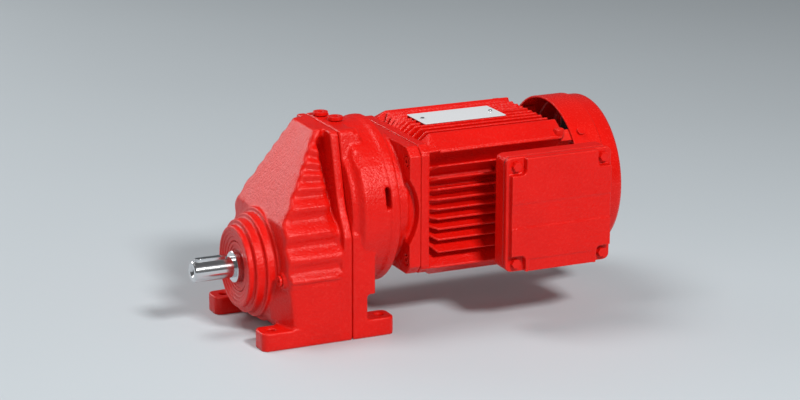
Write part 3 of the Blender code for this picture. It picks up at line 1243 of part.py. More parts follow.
def build():
    """Make every piece of the gear unit."""
    clear_scene()
    painted = material("red_paint", (0.62, 0.012, 0.008), 0.35, 0.0)
    steel = material("bright_steel", (0.62, 0.63, 0.65), 0.22, 1.0)
    dark = material("black_oxide_steel", (0.09, 0.09, 0.1), 0.45, 1.0)
    gear_steel = material("ground_gear_steel", (0.45, 0.45, 0.47), 0.3, 1.0)
    core = material("rotor_lamination", (0.35, 0.36, 0.38), 0.5, 1.0)
    winding = material("stator_winding", (0.42, 0.17, 0.06), 0.5, 0.2)
    rubber = material("seal_rubber", (0.03, 0.03, 0.03), 0.6, 0.0)
    plastic = material("black_plastic", (0.04, 0.04, 0.045), 0.5, 0.0)
    white = material("blank_plate", (0.86, 0.87, 0.88), 0.35, 0.0)
    unit = empty("gear_unit", (-CENTRE_X, -CENTRE_Y, 0))
    output_axis = empty("output_axis", (0, 0, SHAFT_HEIGHT), unit)
    motor_axis = empty("motor_axis", (0, 0, MOTOR_HEIGHT), unit)
    gear_housing_front(unit, painted)
    gear_housing_rear(unit, painted)
    output_line(output_axis, steel, dark, rubber, gear_steel)
    output_supports(output_axis, steel, rubber)
    rotor_line(motor_axis, steel, core, gear_steel, plastic)
    motor_supports(motor_axis, steel, rubber, winding)
    endshield_front(motor_axis, painted)
    stator_frame(motor_axis, painted)
    endshield_rear(motor_axis, painted)
    fan_cowl(motor_axis, painted)
    terminal_box_base(unit, painted)
    terminal_box_gasket(unit, rubber)
    terminal_box_cover(unit, painted)
    terminal_board(unit, plastic)
    fasteners(unit, motor_axis, painted, dark)
    plugs(unit, painted, plastic)
    nameplate(unit, white, steel)


build()
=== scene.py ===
"""Helical gear unit with motor: finished castings, machined pieces, paint and a plain studio."""

import json
import math

import bpy
from mathutils import Matrix, Vector


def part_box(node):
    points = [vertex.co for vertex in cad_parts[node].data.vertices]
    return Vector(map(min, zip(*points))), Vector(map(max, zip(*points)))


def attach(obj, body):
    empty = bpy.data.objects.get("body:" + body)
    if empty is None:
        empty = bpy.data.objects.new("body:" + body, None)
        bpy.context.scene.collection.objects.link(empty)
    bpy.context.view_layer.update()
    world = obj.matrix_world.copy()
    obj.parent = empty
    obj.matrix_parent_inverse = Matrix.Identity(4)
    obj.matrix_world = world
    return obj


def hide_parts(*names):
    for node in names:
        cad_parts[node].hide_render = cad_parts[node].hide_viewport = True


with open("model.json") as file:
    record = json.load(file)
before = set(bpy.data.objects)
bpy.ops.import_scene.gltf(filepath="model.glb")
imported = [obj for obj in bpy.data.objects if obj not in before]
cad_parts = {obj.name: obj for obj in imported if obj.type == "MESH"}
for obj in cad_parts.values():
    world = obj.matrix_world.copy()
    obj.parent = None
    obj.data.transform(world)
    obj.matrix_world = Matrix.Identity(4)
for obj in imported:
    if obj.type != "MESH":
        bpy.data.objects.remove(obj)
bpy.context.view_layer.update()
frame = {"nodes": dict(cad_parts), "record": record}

bl_info = {
    "name": "Helical gear unit",
    "version": (1, 0, 0),
    "blender": (4, 5, 0),
    "location": "View3D > Sidebar > Gear Unit",
    "description": "Models the painted castings and machined pieces of a helical gear unit with its motor",
    "category": "Object",
}

MM = 0.001


# Places that come from the frame

def middle_of(node, axis):
    """Middle of a node's box along one axis, in metres."""
    low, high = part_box(node)
    return (low[axis] + high[axis]) / 2


AXIS_Y = middle_of("output_shaft", 1)
OUTPUT_HEIGHT = middle_of("output_bearing_front", 2)
MOTOR_HEIGHT = middle_of("motor_bearing_front", 2)
SHAFT_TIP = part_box("output_shaft")[0].x
SHAFT_LENGTH = 40 * MM
SHOULDER = SHAFT_TIP + SHAFT_LENGTH


# Selecting and finishing

def deselect():
    """Leave nothing selected."""
    bpy.ops.object.select_all(action="DESELECT")


def choose(*objects):
    """Select these objects only and make the first one active."""
    deselect()
    for obj in objects:
        obj.select_set(True)
    bpy.context.view_layer.objects.active = objects[0]


def finish_with(obj, kind, **settings):
    """Add a modifier with these settings and apply it."""
    choose(obj)
    modifier = obj.modifiers.new(kind.title(), kind)
    for name, value in settings.items():
        setattr(modifier, name, value)
    bpy.ops.object.modifier_apply(modifier=modifier.name)


def edit(obj, mode="VERT"):
    """Open a mesh for editing with nothing selected."""
    choose(obj)
    bpy.ops.object.mode_set(mode="EDIT")
    bpy.ops.mesh.select_mode(type=mode)
    bpy.ops.mesh.select_all(action="DESELECT")
    bpy.ops.object.mode_set(mode="OBJECT")


def pick(obj, wanted, what="vertices"):
    """Select the vertices, edges or faces for which wanted(element) holds, in edit mode."""
    bpy.ops.object.mode_set(mode="OBJECT")
    for element in getattr(obj.data, what):
        element.select = bool(wanted(element))
    bpy.ops.object.mode_set(mode="EDIT")


def close_edit(smooth_angle=30):
    """Merge doubles, turn the faces outwards, leave edit mode and shade smooth below an angle."""
    bpy.ops.mesh.select_all(action="SELECT")
    bpy.ops.mesh.remove_doubles(threshold=1e-6)
    bpy.ops.mesh.normals_make_consistent(inside=False)
    bpy.ops.object.mode_set(mode="OBJECT")
    bpy.ops.object.shade_smooth_by_angle(angle=math.radians(smooth_angle))


def settle(obj, name):
    """Name a piece and put its place into its mesh."""
    obj.name = name
    obj.data.name = name
    choose(obj)
    bpy.ops.object.transform_apply(location=True, rotation=True, scale=True)
    return obj


def paint_with(obj, finish):
    """Give a piece one finish all over."""
    obj.data.materials.clear()
    obj.data.materials.append(finish)


def round_edges(obj, width, segments=3, angle=30):
    """Round the edges that turn more sharply than an angle."""
    finish_with(obj, "BEVEL", width=width, segments=segments, limit_method="ANGLE",
                angle_limit=math.radians(angle), use_clamp_overlap=True, harden_normals=False)


# Shapes

def turned(name, profile, height, steps=96, closed=False, bevel=0.0):
    """Spin a profile of (x, radius) points, in metres, about the shaft line at a height."""
    (x, radius), rest = profile[0], profile[1:]
    deselect()
    bpy.ops.mesh.primitive_plane_add(size=MM, location=(x, AXIS_Y, height + radius))
    obj = settle(bpy.context.active_object, name)
    edit(obj)
    bpy.ops.object.mode_set(mode="EDIT")
    bpy.ops.mesh.select_all(action="SELECT")
    bpy.ops.mesh.merge(type="CENTER")
    for next_x, next_radius in rest:
        bpy.ops.mesh.extrude_region_move(
            TRANSFORM_OT_translate={"value": (next_x - x, 0, next_radius - radius)})
        x, radius = next_x, next_radius
    if closed:
        ends = (0, len(profile) - 1)
        pick(obj, lambda vertex: vertex.index in ends)
        bpy.ops.mesh.edge_face_add()
    bpy.ops.mesh.select_all(action="SELECT")
    bpy.ops.mesh.spin(steps=steps, angle=math.tau, center=(0, AXIS_Y, height), axis=(1, 0, 0))
    close_edit()
    if bevel:
        round_edges(obj, bevel, 2, 25)
    return obj


def reshape(obj, target):
    """Move each vertex to target(x, y, z).
    Places are in millimetres from the shaft's shoulder, its axis and the floor."""
    for vertex in obj.data.vertices:
        x, y, z = vertex.co
        x, y, z = target((x - SHOULDER) / MM, (y - AXIS_Y) / MM, z / MM)
        vertex.co = (SHOULDER + x * MM, AXIS_Y + y * MM, z * MM)


def ease(value):
    """Smooth rise from 0 to 1."""
    value = min(max(value, 0.0), 1.0)
    return value * value * (3 - 2 * value)


def cast_skin(node, grain, passes=4, most=185000, extra=(), target=None):
    """Copy a solid and give it the rounded edges that a casting leaves the mould with.
    Extra solids are cast in one with it, and target moves the points of its surface.
    The skin keeps no more than most triangles."""
    source = frame["nodes"][node]
    skin = bpy.data.objects.new(node + "_skin", source.data.copy())
    bpy.context.scene.collection.objects.link(skin)
    edit(skin)
    bpy.ops.object.mode_set(mode="EDIT")
    bpy.ops.mesh.select_all(action="SELECT")
    bpy.ops.mesh.remove_doubles(threshold=1e-6)
    bpy.ops.object.mode_set(mode="OBJECT")
    if extra:
        choose(skin, *extra)
        bpy.ops.object.join()
    finish_with(skin, "REMESH", mode="VOXEL", voxel_size=grain)
    if target:
        reshape(skin, target)
        finish_with(skin, "REMESH", mode="VOXEL", voxel_size=grain)
    finish_with(skin, "SMOOTH", factor=0.5, iterations=passes)
    faces = sum(len(face.vertices) - 2 for face in skin.data.polygons)
    if faces > most:
        finish_with(skin, "DECIMATE", ratio=most / faces)
    choose(skin)
    bpy.ops.object.shade_smooth()
    return skin


def stand_for(obj, body, finish, slot, *nodes):
    """Paint a piece, let it ride on its body and stand for its solids."""
    paint_with(obj, finish)
    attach(obj, body)
    if nodes:
        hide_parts(*nodes)


# Node materials

class Value:
    """A node socket that takes part in sums like a number."""

    def __init__(self, finish, socket):
        self.finish = finish
        self.socket = socket

    def _sum(self, operation, first, second):
        return self.finish.node("ShaderNodeMath", {"operation": operation}, {0: first, 1: second})

    def __add__(self, other):
        return self._sum("ADD", self, other)

    def __radd__(self, other):
        return self._sum("ADD", other, self)

    def __sub__(self, other):
        return self._sum("SUBTRACT", self, other)

    def __rsub__(self, other):
        return self._sum("SUBTRACT", other, self)

    def __mul__(self, other):
        return self._sum("MULTIPLY", self, other)

    def __rmul__(self, other):
        return self._sum("MULTIPLY", other, self)

    def __truediv__(self, other):
        return self._sum("DIVIDE", self, other)

    def __rtruediv__(self, other):
        return self._sum("DIVIDE", other, self)


class Finish:
    """A material built up node by node round one Principled shader."""

    def __init__(self, name):
        self.material = bpy.data.materials.new(name)
        self.material.use_nodes = True
        self.tree = self.material.node_tree
        self.shader = self.tree.nodes["Principled BSDF"]
        self.place = self.node("ShaderNodeTexCoord", output="Object")

    def node(self, kind, settings=None, inputs=None, output=0):
        """Add a node, set it up, feed its sockets and give back one of its outputs."""
        made = self.tree.nodes.new(kind)
        for key, value in (settings or {}).items():
            if key == "stops":
                self.set_stops(made.color_ramp, value)
            else:
                setattr(made, key, value)
        for key, value in (inputs or {}).items():
            self.feed(made.inputs[key], value)
        return Value(self, made.outputs[output])

    def set_stops(self, ramp, stops):
        """Give a colour ramp its stops of (position, shade)."""
        while len(ramp.elements) < len(stops):
            ramp.elements.new(1.0)
        for element, (position, shade) in zip(ramp.elements, stops):
            element.position = position
            element.color = (shade, shade, shade, 1.0)

    def feed(self, socket, value):
        """Link a value to a socket, or set the socket."""
        if isinstance(value, Value):
            self.tree.links.new(value.socket, socket)
        elif hasattr(socket.default_value, "__len__") and len(socket.default_value) == 4 and len(value) == 3:
            socket.default_value = (*value, 1.0)
        else:
            socket.default_value = value

    def set(self, **sockets):
        """Set or link the shader's own sockets, with spaces written as underscores."""
        for name, value in sockets.items():
            self.feed(self.shader.inputs[name.replace("_", " ")], value)

    def noise(self, size, detail=3.0, roughness=0.55, place=None):
        """Noise whose blotches are about one size across, in metres."""
        return self.node("ShaderNodeTexNoise", None,
                         {"Vector": place or self.place, "Scale": 1 / size, "Detail": detail,
                          "Roughness": roughness}, "Fac")

    def pits(self, size):
        """Distance to the nearest of scattered points, one to each size across."""
        return self.node("ShaderNodeTexVoronoi", {"feature": "F1"},
                         {"Vector": self.place, "Scale": 1 / size}, "Distance")

    def ramp(self, value, *stops):
        """Map a value through a ramp of (position, shade) stops."""
        return self.node("ShaderNodeValToRGB", {"stops": stops}, {"Fac": value})

    def blend(self, share, first, second):
        """Mix two colours by a share from 0 to 1."""
        return self.node("ShaderNodeMix", {"data_type": "RGBA"}, {0: share, 6: first, 7: second}, 2)

    def worn_edges(self, sharpness=0.04):
        """Share from 0 to 1 that is high along outer edges."""
        pointed = self.node("ShaderNodeNewGeometry", None, None, "Pointiness")
        return self.ramp(pointed, (0.5 + sharpness * 0.3, 0.0), (0.5 + sharpness * 1.6, 1.0))

    def hollows(self, sharpness=0.05):
        """Share from 0 to 1 that is high in inner corners, used to paint shade there."""
        pointed = self.node("ShaderNodeNewGeometry", None, None, "Pointiness")
        return self.ramp(pointed, (0.5 - sharpness * 1.6, 1.0), (0.5 - sharpness * 0.2, 0.0))

    def stretched(self, x, y, z):
        """Object place scaled by each axis."""
        return self.node("ShaderNodeMapping", None, {"Vector": self.place, "Scale": (x, y, z)}, "Vector")

    def bump(self, height, distance, strength=1.0):
        """Turn a height into a normal."""
        return self.node("ShaderNodeBump", None,
                         {"Height": height, "Distance": distance, "Strength": strength}, "Normal")


def enamel(name, colour, grain, depth, roughness, strength=1.0):
    """Sprayed enamel over a surface with a grain of one size and depth, both in metres, with painted glints
    on the grain and painted shade in inner corners.
    """
    finish = Finish(name)
    red = tuple(colour)
    deep = tuple(part * 0.86 for part in red)
    # Pale pink for the painted highlight of the glint specks, and for the worn edges
    glint_and_wear_pink = (min(red[0] * 1.12, 1.0), red[1] + 0.040, red[2] + 0.028)
    cloud = finish.ramp(finish.noise(grain * 28, 3.0), (0.36, 0.0), (0.64, 1.0))
    speck = finish.ramp(finish.noise(grain * 1.4, 2.0, 0.6), (0.52, 0.0), (0.72, 1.0))
    base = finish.blend(cloud * 0.5, red, deep)
    # Painted highlight: pale pink specks stand in for glints of light on the grain
    base = finish.blend(speck * 0.22, base, glint_and_wear_pink)
    base = finish.blend(finish.worn_edges() * 0.30, base, glint_and_wear_pink)
    # Painted shade: the inner corners are darkened where shade falls
    base = finish.blend(finish.hollows() * 0.45, base, tuple(part * 0.55 for part in red))
    pebble = finish.noise(grain, 3.0, 0.62)
    pit = finish.ramp(finish.pits(grain * 2.1), (0.05, 0.0), (0.42, 1.0))
    peel = finish.noise(grain * 4.5, 1.0, 0.4)
    height = pebble * 0.75 + pit * 0.25 + peel * 0.5
    finish.set(Base_Color=base, Roughness=roughness + speck * 0.09 - cloud * 0.05, Metallic=0.0,
               Normal=finish.bump(height, depth, strength))
    finish.shader.inputs["Specular IOR Level"].default_value = 0.45
    finish.shader.inputs["Specular Tint"].default_value = (1.0, 0.55, 0.52, 1.0)
    return finish.material


def turned_steel(name, shade, roughness, groove=0.35 * MM):
    """Bright steel with fine rings left by the tool round the shaft line."""
    finish = Finish(name)
    ring = finish.noise(1.0, 4.0, 0.6, finish.stretched(1 / groove, 6.0, 6.0))
    smear = finish.noise(9 * MM, 3.0)
    speck = finish.ramp(finish.noise(0.7 * MM, 2.0), (0.58, 0.0), (0.72, 1.0))
    base = finish.blend(smear * 0.35, (shade, shade, shade * 1.02), (shade * 0.86, shade * 0.87, shade * 0.9))
    base = finish.blend(speck * 0.12, base, (shade * 0.6, shade * 0.6, shade * 0.62))
    finish.set(Base_Color=base, Metallic=1.0, Roughness=roughness + ring * 0.06 + smear * 0.05,
               Normal=finish.bump(ring, 0.006 * MM, 0.5))
    return finish.material


def ground_steel(name, shade, roughness, warm=1.0):
    """Ground steel with short grinding marks across the piece and an oily bloom."""
    finish = Finish(name)
    mark = finish.noise(1.0, 3.0, 0.6, finish.stretched(500.0, 3200.0, 3200.0))
    bloom = finish.ramp(finish.noise(12 * MM, 3.0), (0.35, 0.0), (0.7, 1.0))
    base = finish.blend(bloom * 0.6, (shade * warm, shade, shade), (shade * 0.72, shade * 0.73, shade * 0.76))
    base = finish.blend(finish.worn_edges() * 0.4, base, (0.75, 0.75, 0.76))
    finish.set(Base_Color=base, Metallic=1.0, Roughness=roughness + mark * 0.12 + bloom * 0.05,
               Normal=finish.bump(mark, 0.01 * MM, 0.6))
    return finish.material


def black_oxide(name):
    """Blackened steel with bare metal showing along its edges."""
    finish = Finish(name)
    cloud = finish.noise(4 * MM, 3.0)
    base = finish.blend(cloud, (0.035, 0.036, 0.04), (0.075, 0.075, 0.08))
    base = finish.blend(finish.worn_edges() * 0.55, base, (0.42, 0.42, 0.43))
    finish.set(Base_Color=base, Metallic=0.85, Roughness=0.36 + cloud * 0.16,
               Normal=finish.bump(finish.noise(0.5 * MM), 0.03 * MM, 0.5))
    return finish.material


def moulded(name, colour, roughness, grain=0.5 * MM):
    """Moulded plastic or rubber with a fine matt grain."""
    finish = Finish(name)
    cloud = finish.noise(14 * MM, 2.0)
    base = finish.blend(cloud * 0.5, colour, tuple(part * 1.5 + 0.004 for part in colour))
    base = finish.blend(finish.worn_edges() * 0.25, base, tuple(part * 2.0 + 0.03 for part in colour))
    finish.set(Base_Color=base, Roughness=roughness + cloud * 0.1,
               Normal=finish.bump(finish.noise(grain, 3.0, 0.6), 0.05 * MM, 0.7))
    return finish.material


def laminations(name):
    """Stack of thin punched sheets, seen from its edges."""
    finish = Finish(name)
    sheet = finish.node("ShaderNodeTexWave", {"bands_direction": "X", "wave_profile": "SAW"},
                        {"Vector": finish.place, "Scale": 160.0, "Distortion": 0.4, "Detail": 1.0}, "Fac")
    cloud = finish.noise(10 * MM, 3.0)
    base = finish.blend(cloud, (0.30, 0.31, 0.33), (0.40, 0.39, 0.38))
    finish.set(Base_Color=base, Metallic=0.9, Roughness=0.42 + sheet * 0.12 + cloud * 0.08,
               Normal=finish.bump(sheet, 0.08 * MM, 0.6))
    return finish.material


def winding(name):
    """Lacquered copper winding in coarse bundles."""
    finish = Finish(name)
    wire = finish.node("ShaderNodeTexWave", {"bands_direction": "DIAGONAL"},
                       {"Vector": finish.place, "Scale": 210.0, "Distortion": 3.0, "Detail": 2.0}, "Fac")
    cloud = finish.noise(12 * MM, 3.0)
    base = finish.blend(wire, (0.16, 0.05, 0.018), (0.46, 0.17, 0.055))
    base = finish.blend(cloud * 0.4, base, (0.30, 0.10, 0.03))
    finish.set(Base_Color=base, Metallic=0.25, Roughness=0.34 + cloud * 0.14,
               Normal=finish.bump(wire, 0.35 * MM, 0.8))
    return finish.material


def blank_plate(name, colour):
    """Satin white plate with faint brushing and handling marks."""
    finish = Finish(name)
    brush = finish.noise(1.0, 3.0, 0.6, finish.stretched(220.0, 5200.0, 5200.0))
    cloud = finish.noise(16 * MM, 3.0)
    base = finish.blend(cloud * 0.5, tuple(colour), tuple(part * 0.93 for part in colour))
    base = finish.blend(brush * 0.10, base, (0.62, 0.63, 0.65))
    base = finish.blend(finish.worn_edges() * 0.5, base, (0.55, 0.56, 0.58))
    finish.set(Base_Color=base, Metallic=0.1, Roughness=0.3 + brush * 0.12,
               Normal=finish.bump(brush, 0.01 * MM, 0.5))
    return finish.material


# Values that a user may change

class GearUnitPaint(bpy.types.PropertyGroup):
    """Colour and surface of the enamel."""
    colour: bpy.props.FloatVectorProperty(name="Enamel", description="Colour of the sprayed enamel",
                                          subtype="COLOR", size=3, min=0, max=1,
                                          default=(0.74, 0.0050, 0.0020))
    grain: bpy.props.FloatProperty(name="Cast grain",
                                   description="Width of the sand grain that shows in the paint",
                                   unit="LENGTH", default=1.8 * MM)
    depth: bpy.props.FloatProperty(name="Grain depth", description="Height of the sand grain",
                                   unit="LENGTH", default=0.65 * MM)
    roughness: bpy.props.FloatProperty(name="Roughness", description="How matt the enamel is",
                                       subtype="FACTOR", min=0, max=1, default=0.34)


class GearUnitCastings(bpy.types.PropertyGroup):
    """How closely the castings follow their solids."""
    housing_grain: bpy.props.FloatProperty(name="Housing step",
                                           description="Mesh step of the two gear housing castings",
                                           unit="LENGTH", default=1.15 * MM)
    motor_grain: bpy.props.FloatProperty(name="Motor step",
                                         description="Mesh step of the finned frame and endshield",
                                         unit="LENGTH", default=1.0 * MM)
    box_grain: bpy.props.FloatProperty(name="Box step", description="Mesh step of the terminal box",
                                       unit="LENGTH", default=0.8 * MM)
    screw_grain: bpy.props.FloatProperty(name="Screw step", description="Mesh step of plugs and screws",
                                         unit="LENGTH", default=0.3 * MM)


class GearUnitShaft(bpy.types.PropertyGroup):
    """Sizes of the shaft end."""
    diameter: bpy.props.FloatProperty(name="Diameter", description="Diameter of the shaft end",
                                      unit="LENGTH", default=20 * MM)
    chamfer: bpy.props.FloatProperty(name="Chamfer", description="Chamfer at the shaft's tip",
                                     unit="LENGTH", default=1 * MM)
    key_width: bpy.props.FloatProperty(name="Key width", description="Width and height of the parallel key",
                                       unit="LENGTH", default=6 * MM)
    key_length: bpy.props.FloatProperty(name="Key length", description="Length of the parallel key",
                                        unit="LENGTH", default=32 * MM)
    key_depth: bpy.props.FloatProperty(name="Key depth",
                                       description="Depth of the keyway below the shaft's top",
                                       unit="LENGTH", default=3.5 * MM)


class GearUnitCowl(bpy.types.PropertyGroup):
    """Sizes of the pressed fan cowl."""
    radius: bpy.props.FloatProperty(name="Radius", description="Outer radius of the cowl's front part",
                                    unit="LENGTH", default=78.2 * MM)
    wall: bpy.props.FloatProperty(name="Sheet", description="Thickness of the pressed sheet",
                                  unit="LENGTH", default=2 * MM)
    step_in: bpy.props.FloatProperty(name="Step", description="How far the rear part steps in",
                                     unit="LENGTH", default=2 * MM)
    slot_width: bpy.props.FloatProperty(name="Slot width", description="Width of the air slots",
                                        unit="LENGTH", default=7 * MM)


class GearUnitStage(bpy.types.PropertyGroup):
    """Floor and light of the studio."""
    floor: bpy.props.FloatVectorProperty(name="Floor", description="Colour of the floor",
                                         subtype="COLOR", size=3, min=0, max=1, default=(0.57, 0.62, 0.65))
    light: bpy.props.FloatProperty(name="Light", description="Strength of all the lamps together",
                                   min=0, default=1.0)


def settings(name):
    """One of the scene's groups of values."""
    return getattr(bpy.context.scene, name)


_finishes = {}


def finish_named(slot):
    """Material for one of the record's slots, made when it is first asked for."""
    if slot in _finishes:
        return _finishes[slot]
    paint = settings("gear_unit_paint")
    makers = {
        "red_paint": lambda: enamel("cast_enamel", paint.colour, paint.grain, paint.depth, paint.roughness),
        "sheet_enamel": lambda: enamel("sheet_enamel", paint.colour, 1.3 * MM, 0.05 * MM,
                                       paint.roughness - 0.06, 0.6),
        "screw_enamel": lambda: enamel("screw_enamel", paint.colour, 0.8 * MM, 0.06 * MM,
                                       paint.roughness, 0.7),
        "bright_steel": lambda: turned_steel("bright_turned_steel", 0.66, 0.12),
        "ground_gear_steel": lambda: ground_steel("ground_tooth_steel", 0.5, 0.24),
        "black_oxide_steel": lambda: black_oxide("black_oxide_bolts"),
        "rotor_lamination": lambda: laminations("rotor_sheets"),
        "stator_winding": lambda: winding("stator_copper"),
        "seal_rubber": lambda: moulded("seal_black_rubber", (0.02, 0.02, 0.021), 0.52),
        "black_plastic": lambda: moulded("moulded_black_plastic", (0.028, 0.028, 0.03), 0.42, 0.8 * MM),
        "blank_plate": lambda: blank_plate("white_blank_plate", (0.83, 0.845, 0.86)),
    }
    _finishes[slot] = makers[slot]()
    return _finishes[slot]


# Operators, one for each piece or group of like pieces

class GEARUNIT_OT_front_housing(bpy.types.Operator):
    """Cast the front housing with waves along the whole of its sides"""
    bl_idname = "gearunit.front_housing"
    bl_label = "Front Housing"

    # In millimetres, heights from the floor and lengths from the shaft's shoulder
    low, high = 58.0, 189.0
    crests = (62.0, 84.0, 105.0, 130.0, 146.0, 156.0, 166.5, 177.5, 190.0)
    crown = 194.3
    fade_in, fade_out = 6.0, 14.0
    swell = 0.10
    more_behind = 0.3
    tilt, tilt_start, tilt_rise = 3.0, 115.0, 60.0
    bend, rise = 113.6, 80.7
    wall_front, wall_lean = 27.6, 46.0
    bend_width, narrowing = 60.0, 33.0
    foot_widening, foot_rise, foot_top, foot_blend = 11.5, 39.6, 74.0, 12.0
    corner = 2.5
    end_low, end_lean = 82.3, 8.6
    thickness = 20.0
    rounding, rounded_from = 2.4, 0.86

    def execute(self, context):
        flanks = [self.flank(side) for side in (-1, 1)]
        skin = cast_skin("gear_housing_front", settings("gear_unit_castings").housing_grain, 4,
                         extra=flanks, target=self.carved)
        stand_for(skin, "unit", finish_named("red_paint"), "red_paint", "gear_housing_front")
        return {"FINISHED"}

    def flank(self, side):
        """Slab whose outer face carries the waves of one side."""
        deselect()
        bpy.ops.mesh.primitive_grid_add(x_subdivisions=44, y_subdivisions=140, size=1,
                                        rotation=(math.pi / 2, 0, 0), location=(0, 0, 0))
        slab = settle(bpy.context.active_object, "flank")
        edit(slab, "FACE")
        bpy.ops.object.mode_set(mode="EDIT")
        bpy.ops.mesh.select_all(action="SELECT")
        bpy.ops.mesh.extrude_region_move(TRANSFORM_OT_translate={"value": (0, 1, 0)})
        bpy.ops.mesh.select_all(action="SELECT")
        bpy.ops.mesh.normals_make_consistent(inside=False)
        bpy.ops.object.mode_set(mode="OBJECT")
        for vertex in slab.data.vertices:
            along, inward, up = vertex.co.x + 0.5, vertex.co.y, vertex.co.z + 0.5
            height = self.low + (self.high - self.low) * up
            x = self.front(height) + self.corner
            x += (self.end(height) - x) * along
            y = self.flank_width(along, height) - self.thickness * inward
            y -= self.rounding * ease((along - self.rounded_from) / (1 - self.rounded_from)) * (1 - inward)
            vertex.co = (SHOULDER + x * MM, AXIS_Y + side * y * MM, height * MM)
        if side > 0:
            edit(slab)
            bpy.ops.object.mode_set(mode="EDIT")
            bpy.ops.mesh.select_all(action="SELECT")
            bpy.ops.mesh.flip_normals()
            bpy.ops.object.mode_set(mode="OBJECT")
        return slab

    def front(self, height):
        """Where the front face stands at one height."""
        return self.wall_front + self.wall_lean * max(height - self.bend, 0.0) / self.rise

    def end(self, height):
        """Where the waves stop in front of the rim."""
        return self.end_low - self.end_lean * (height - self.low) / (self.high - self.low)

    def flank_width(self, along, height):
        """Half width of the casting with its waves, which sink a little towards the rim."""
        if height >= self.bend:
            width = self.bend_width - self.narrowing * (height - self.bend) / self.rise
        else:
            width = self.bend_width + self.foot_widening * min((self.bend - height) / self.foot_rise, 1.0)
            width += min(max(self.foot_top - height, 0.0) / self.foot_blend, 1.0)
        sunk = self.tilt * along * ease((height - self.tilt_start) / self.tilt_rise)
        return width + self.wave(height + sunk) * (1 + self.more_behind * ease(along * 3))

    def carved(self, x, y, z):
        """Cut the hollows of the waves into the side."""
        start, end = self.front(z) + self.corner, self.end(z)
        if not self.low < z < self.high or not start < x < end:
            return x, y, z
        return x, math.copysign(min(abs(y), self.flank_width((x - start) / (end - start), z)), y), z

    def wave(self, height):
        """Swell of the waves, long below and short above."""
        window = ease((height - self.low) / self.fade_in) * ease((self.crown - height) / self.fade_out)
        for low, high in zip(self.crests, self.crests[1:]):
            if low <= height < high:
                pitch = high - low
                return self.swell * pitch * window * math.cos(math.tau * (height - low) / pitch)
        return 0.0


class GEARUNIT_OT_rear_housing(bpy.types.Operator):
    """Cast the rear housing, whose drum grows out of a flat pad"""
    bl_idname = "gearunit.rear_housing"
    bl_label = "Rear Housing"

    # In millimetres, heights from the floor and lengths from the shaft's shoulder
    half_width, narrowing = 72.5, 32.5
    shoulder, rise = 100.0, 94.3
    share_at_shoulder = 0.25
    drum_front, pad_rear, drum_full = 98.0, 104.0, 123.0
    pad_bottom, pad_top = 147.0, 193.0
    pad_height = 4.6
    bulge, bulge_top, bulge_rise = 22.0, 176.0, 29.0
    slope, slope_length = 18.0, 18.0
    groove, groove_half, groove_behind = 2.4, 1.6, 0.8
    groove_bottom, groove_rise = 150.0, 8.0

    def execute(self, context):
        skin = cast_skin("gear_housing_rear", settings("gear_unit_castings").housing_grain, 4,
                         target=self.trimmed)
        stand_for(skin, "unit", finish_named("red_paint"), "red_paint", "gear_housing_rear")
        return {"FINISHED"}

    def side(self, height):
        """Half width of the plate at one height."""
        share = (height - self.shoulder) / self.rise
        if share <= 0:
            return self.half_width
        sudden = self.share_at_shoulder
        return self.half_width - self.narrowing * (sudden * ease(share * 3) + (1 - sudden) * share)

    def trimmed(self, x, y, z):
        """Let the drum grow out of a flat pad above, behind a shallow groove."""
        if not self.drum_front - 1 < x < self.drum_full or not self.pad_bottom < z < self.pad_top:
            return x, y, z
        limit = self.side(z) + self.pad_height
        limit += self.bulge * ease((self.bulge_top - z) / self.bulge_rise)
        limit += self.slope * ease((x - self.pad_rear) / self.slope_length)
        aside = abs(x - self.drum_front - self.groove_behind)
        fade = ease((z - self.groove_bottom) / self.groove_rise)
        limit -= self.groove * (1 - ease(aside / self.groove_half)) * fade
        return x, math.copysign(min(abs(y), limit), y), z


class GEARUNIT_OT_motor_castings(bpy.types.Operator):
    """Round the edges of the motor's castings and its terminal box"""
    bl_idname = "gearunit.motor_castings"
    bl_label = "Motor Castings"

    def execute(self, context):
        steps = settings("gear_unit_castings")
        for node, grain, passes in (("endshield_front", steps.motor_grain, 3),
                                    ("stator_frame", steps.motor_grain, 3),
                                    ("terminal_box_base", steps.box_grain, 3),
                                    ("terminal_box_cover", steps.box_grain, 4)):
            skin = cast_skin(node, grain, passes)
            stand_for(skin, "unit", finish_named("red_paint"), "red_paint", node)
        return {"FINISHED"}


class GEARUNIT_OT_boss_rings(bpy.types.Operator):
    """Turn the stepped rings of the bearing boss round the output shaft"""
    bl_idname = "gearunit.boss_rings"
    bl_label = "Boss Rings"

    proud = 0.25 * MM
    steps = ((4.8, 24.0), (4.8, 27.4), (3.9, 28.0), (3.9, 30.9), (3.0, 31.5), (3.0, 34.4), (2.1, 35.0),
             (2.1, 37.6), (3.1, 38.6), (8.0, 38.6), (8.0, 43.1), (9.0, 44.1), (16.8, 44.1), (16.8, 48.1),
             (17.8, 49.1), (25.2, 49.1), (25.2, 53.0), (26.2, 54.0), (31.0, 54.0))
    inside = ((31.0, 50.0), (20.0, 45.0), (11.0, 40.0), (7.0, 36.0), (7.0, 24.0))

    def execute(self, context):
        outer = [(SHOULDER + x * MM - self.proud, r * MM + self.proud) for x, r in self.steps]
        inner = [(SHOULDER + x * MM, r * MM) for x, r in self.inside]
        rings = turned("boss_rings", outer + inner, OUTPUT_HEIGHT, 128, closed=True, bevel=0.5 * MM)
        stand_for(rings, "unit", finish_named("red_paint"), "red_paint")
        return {"FINISHED"}


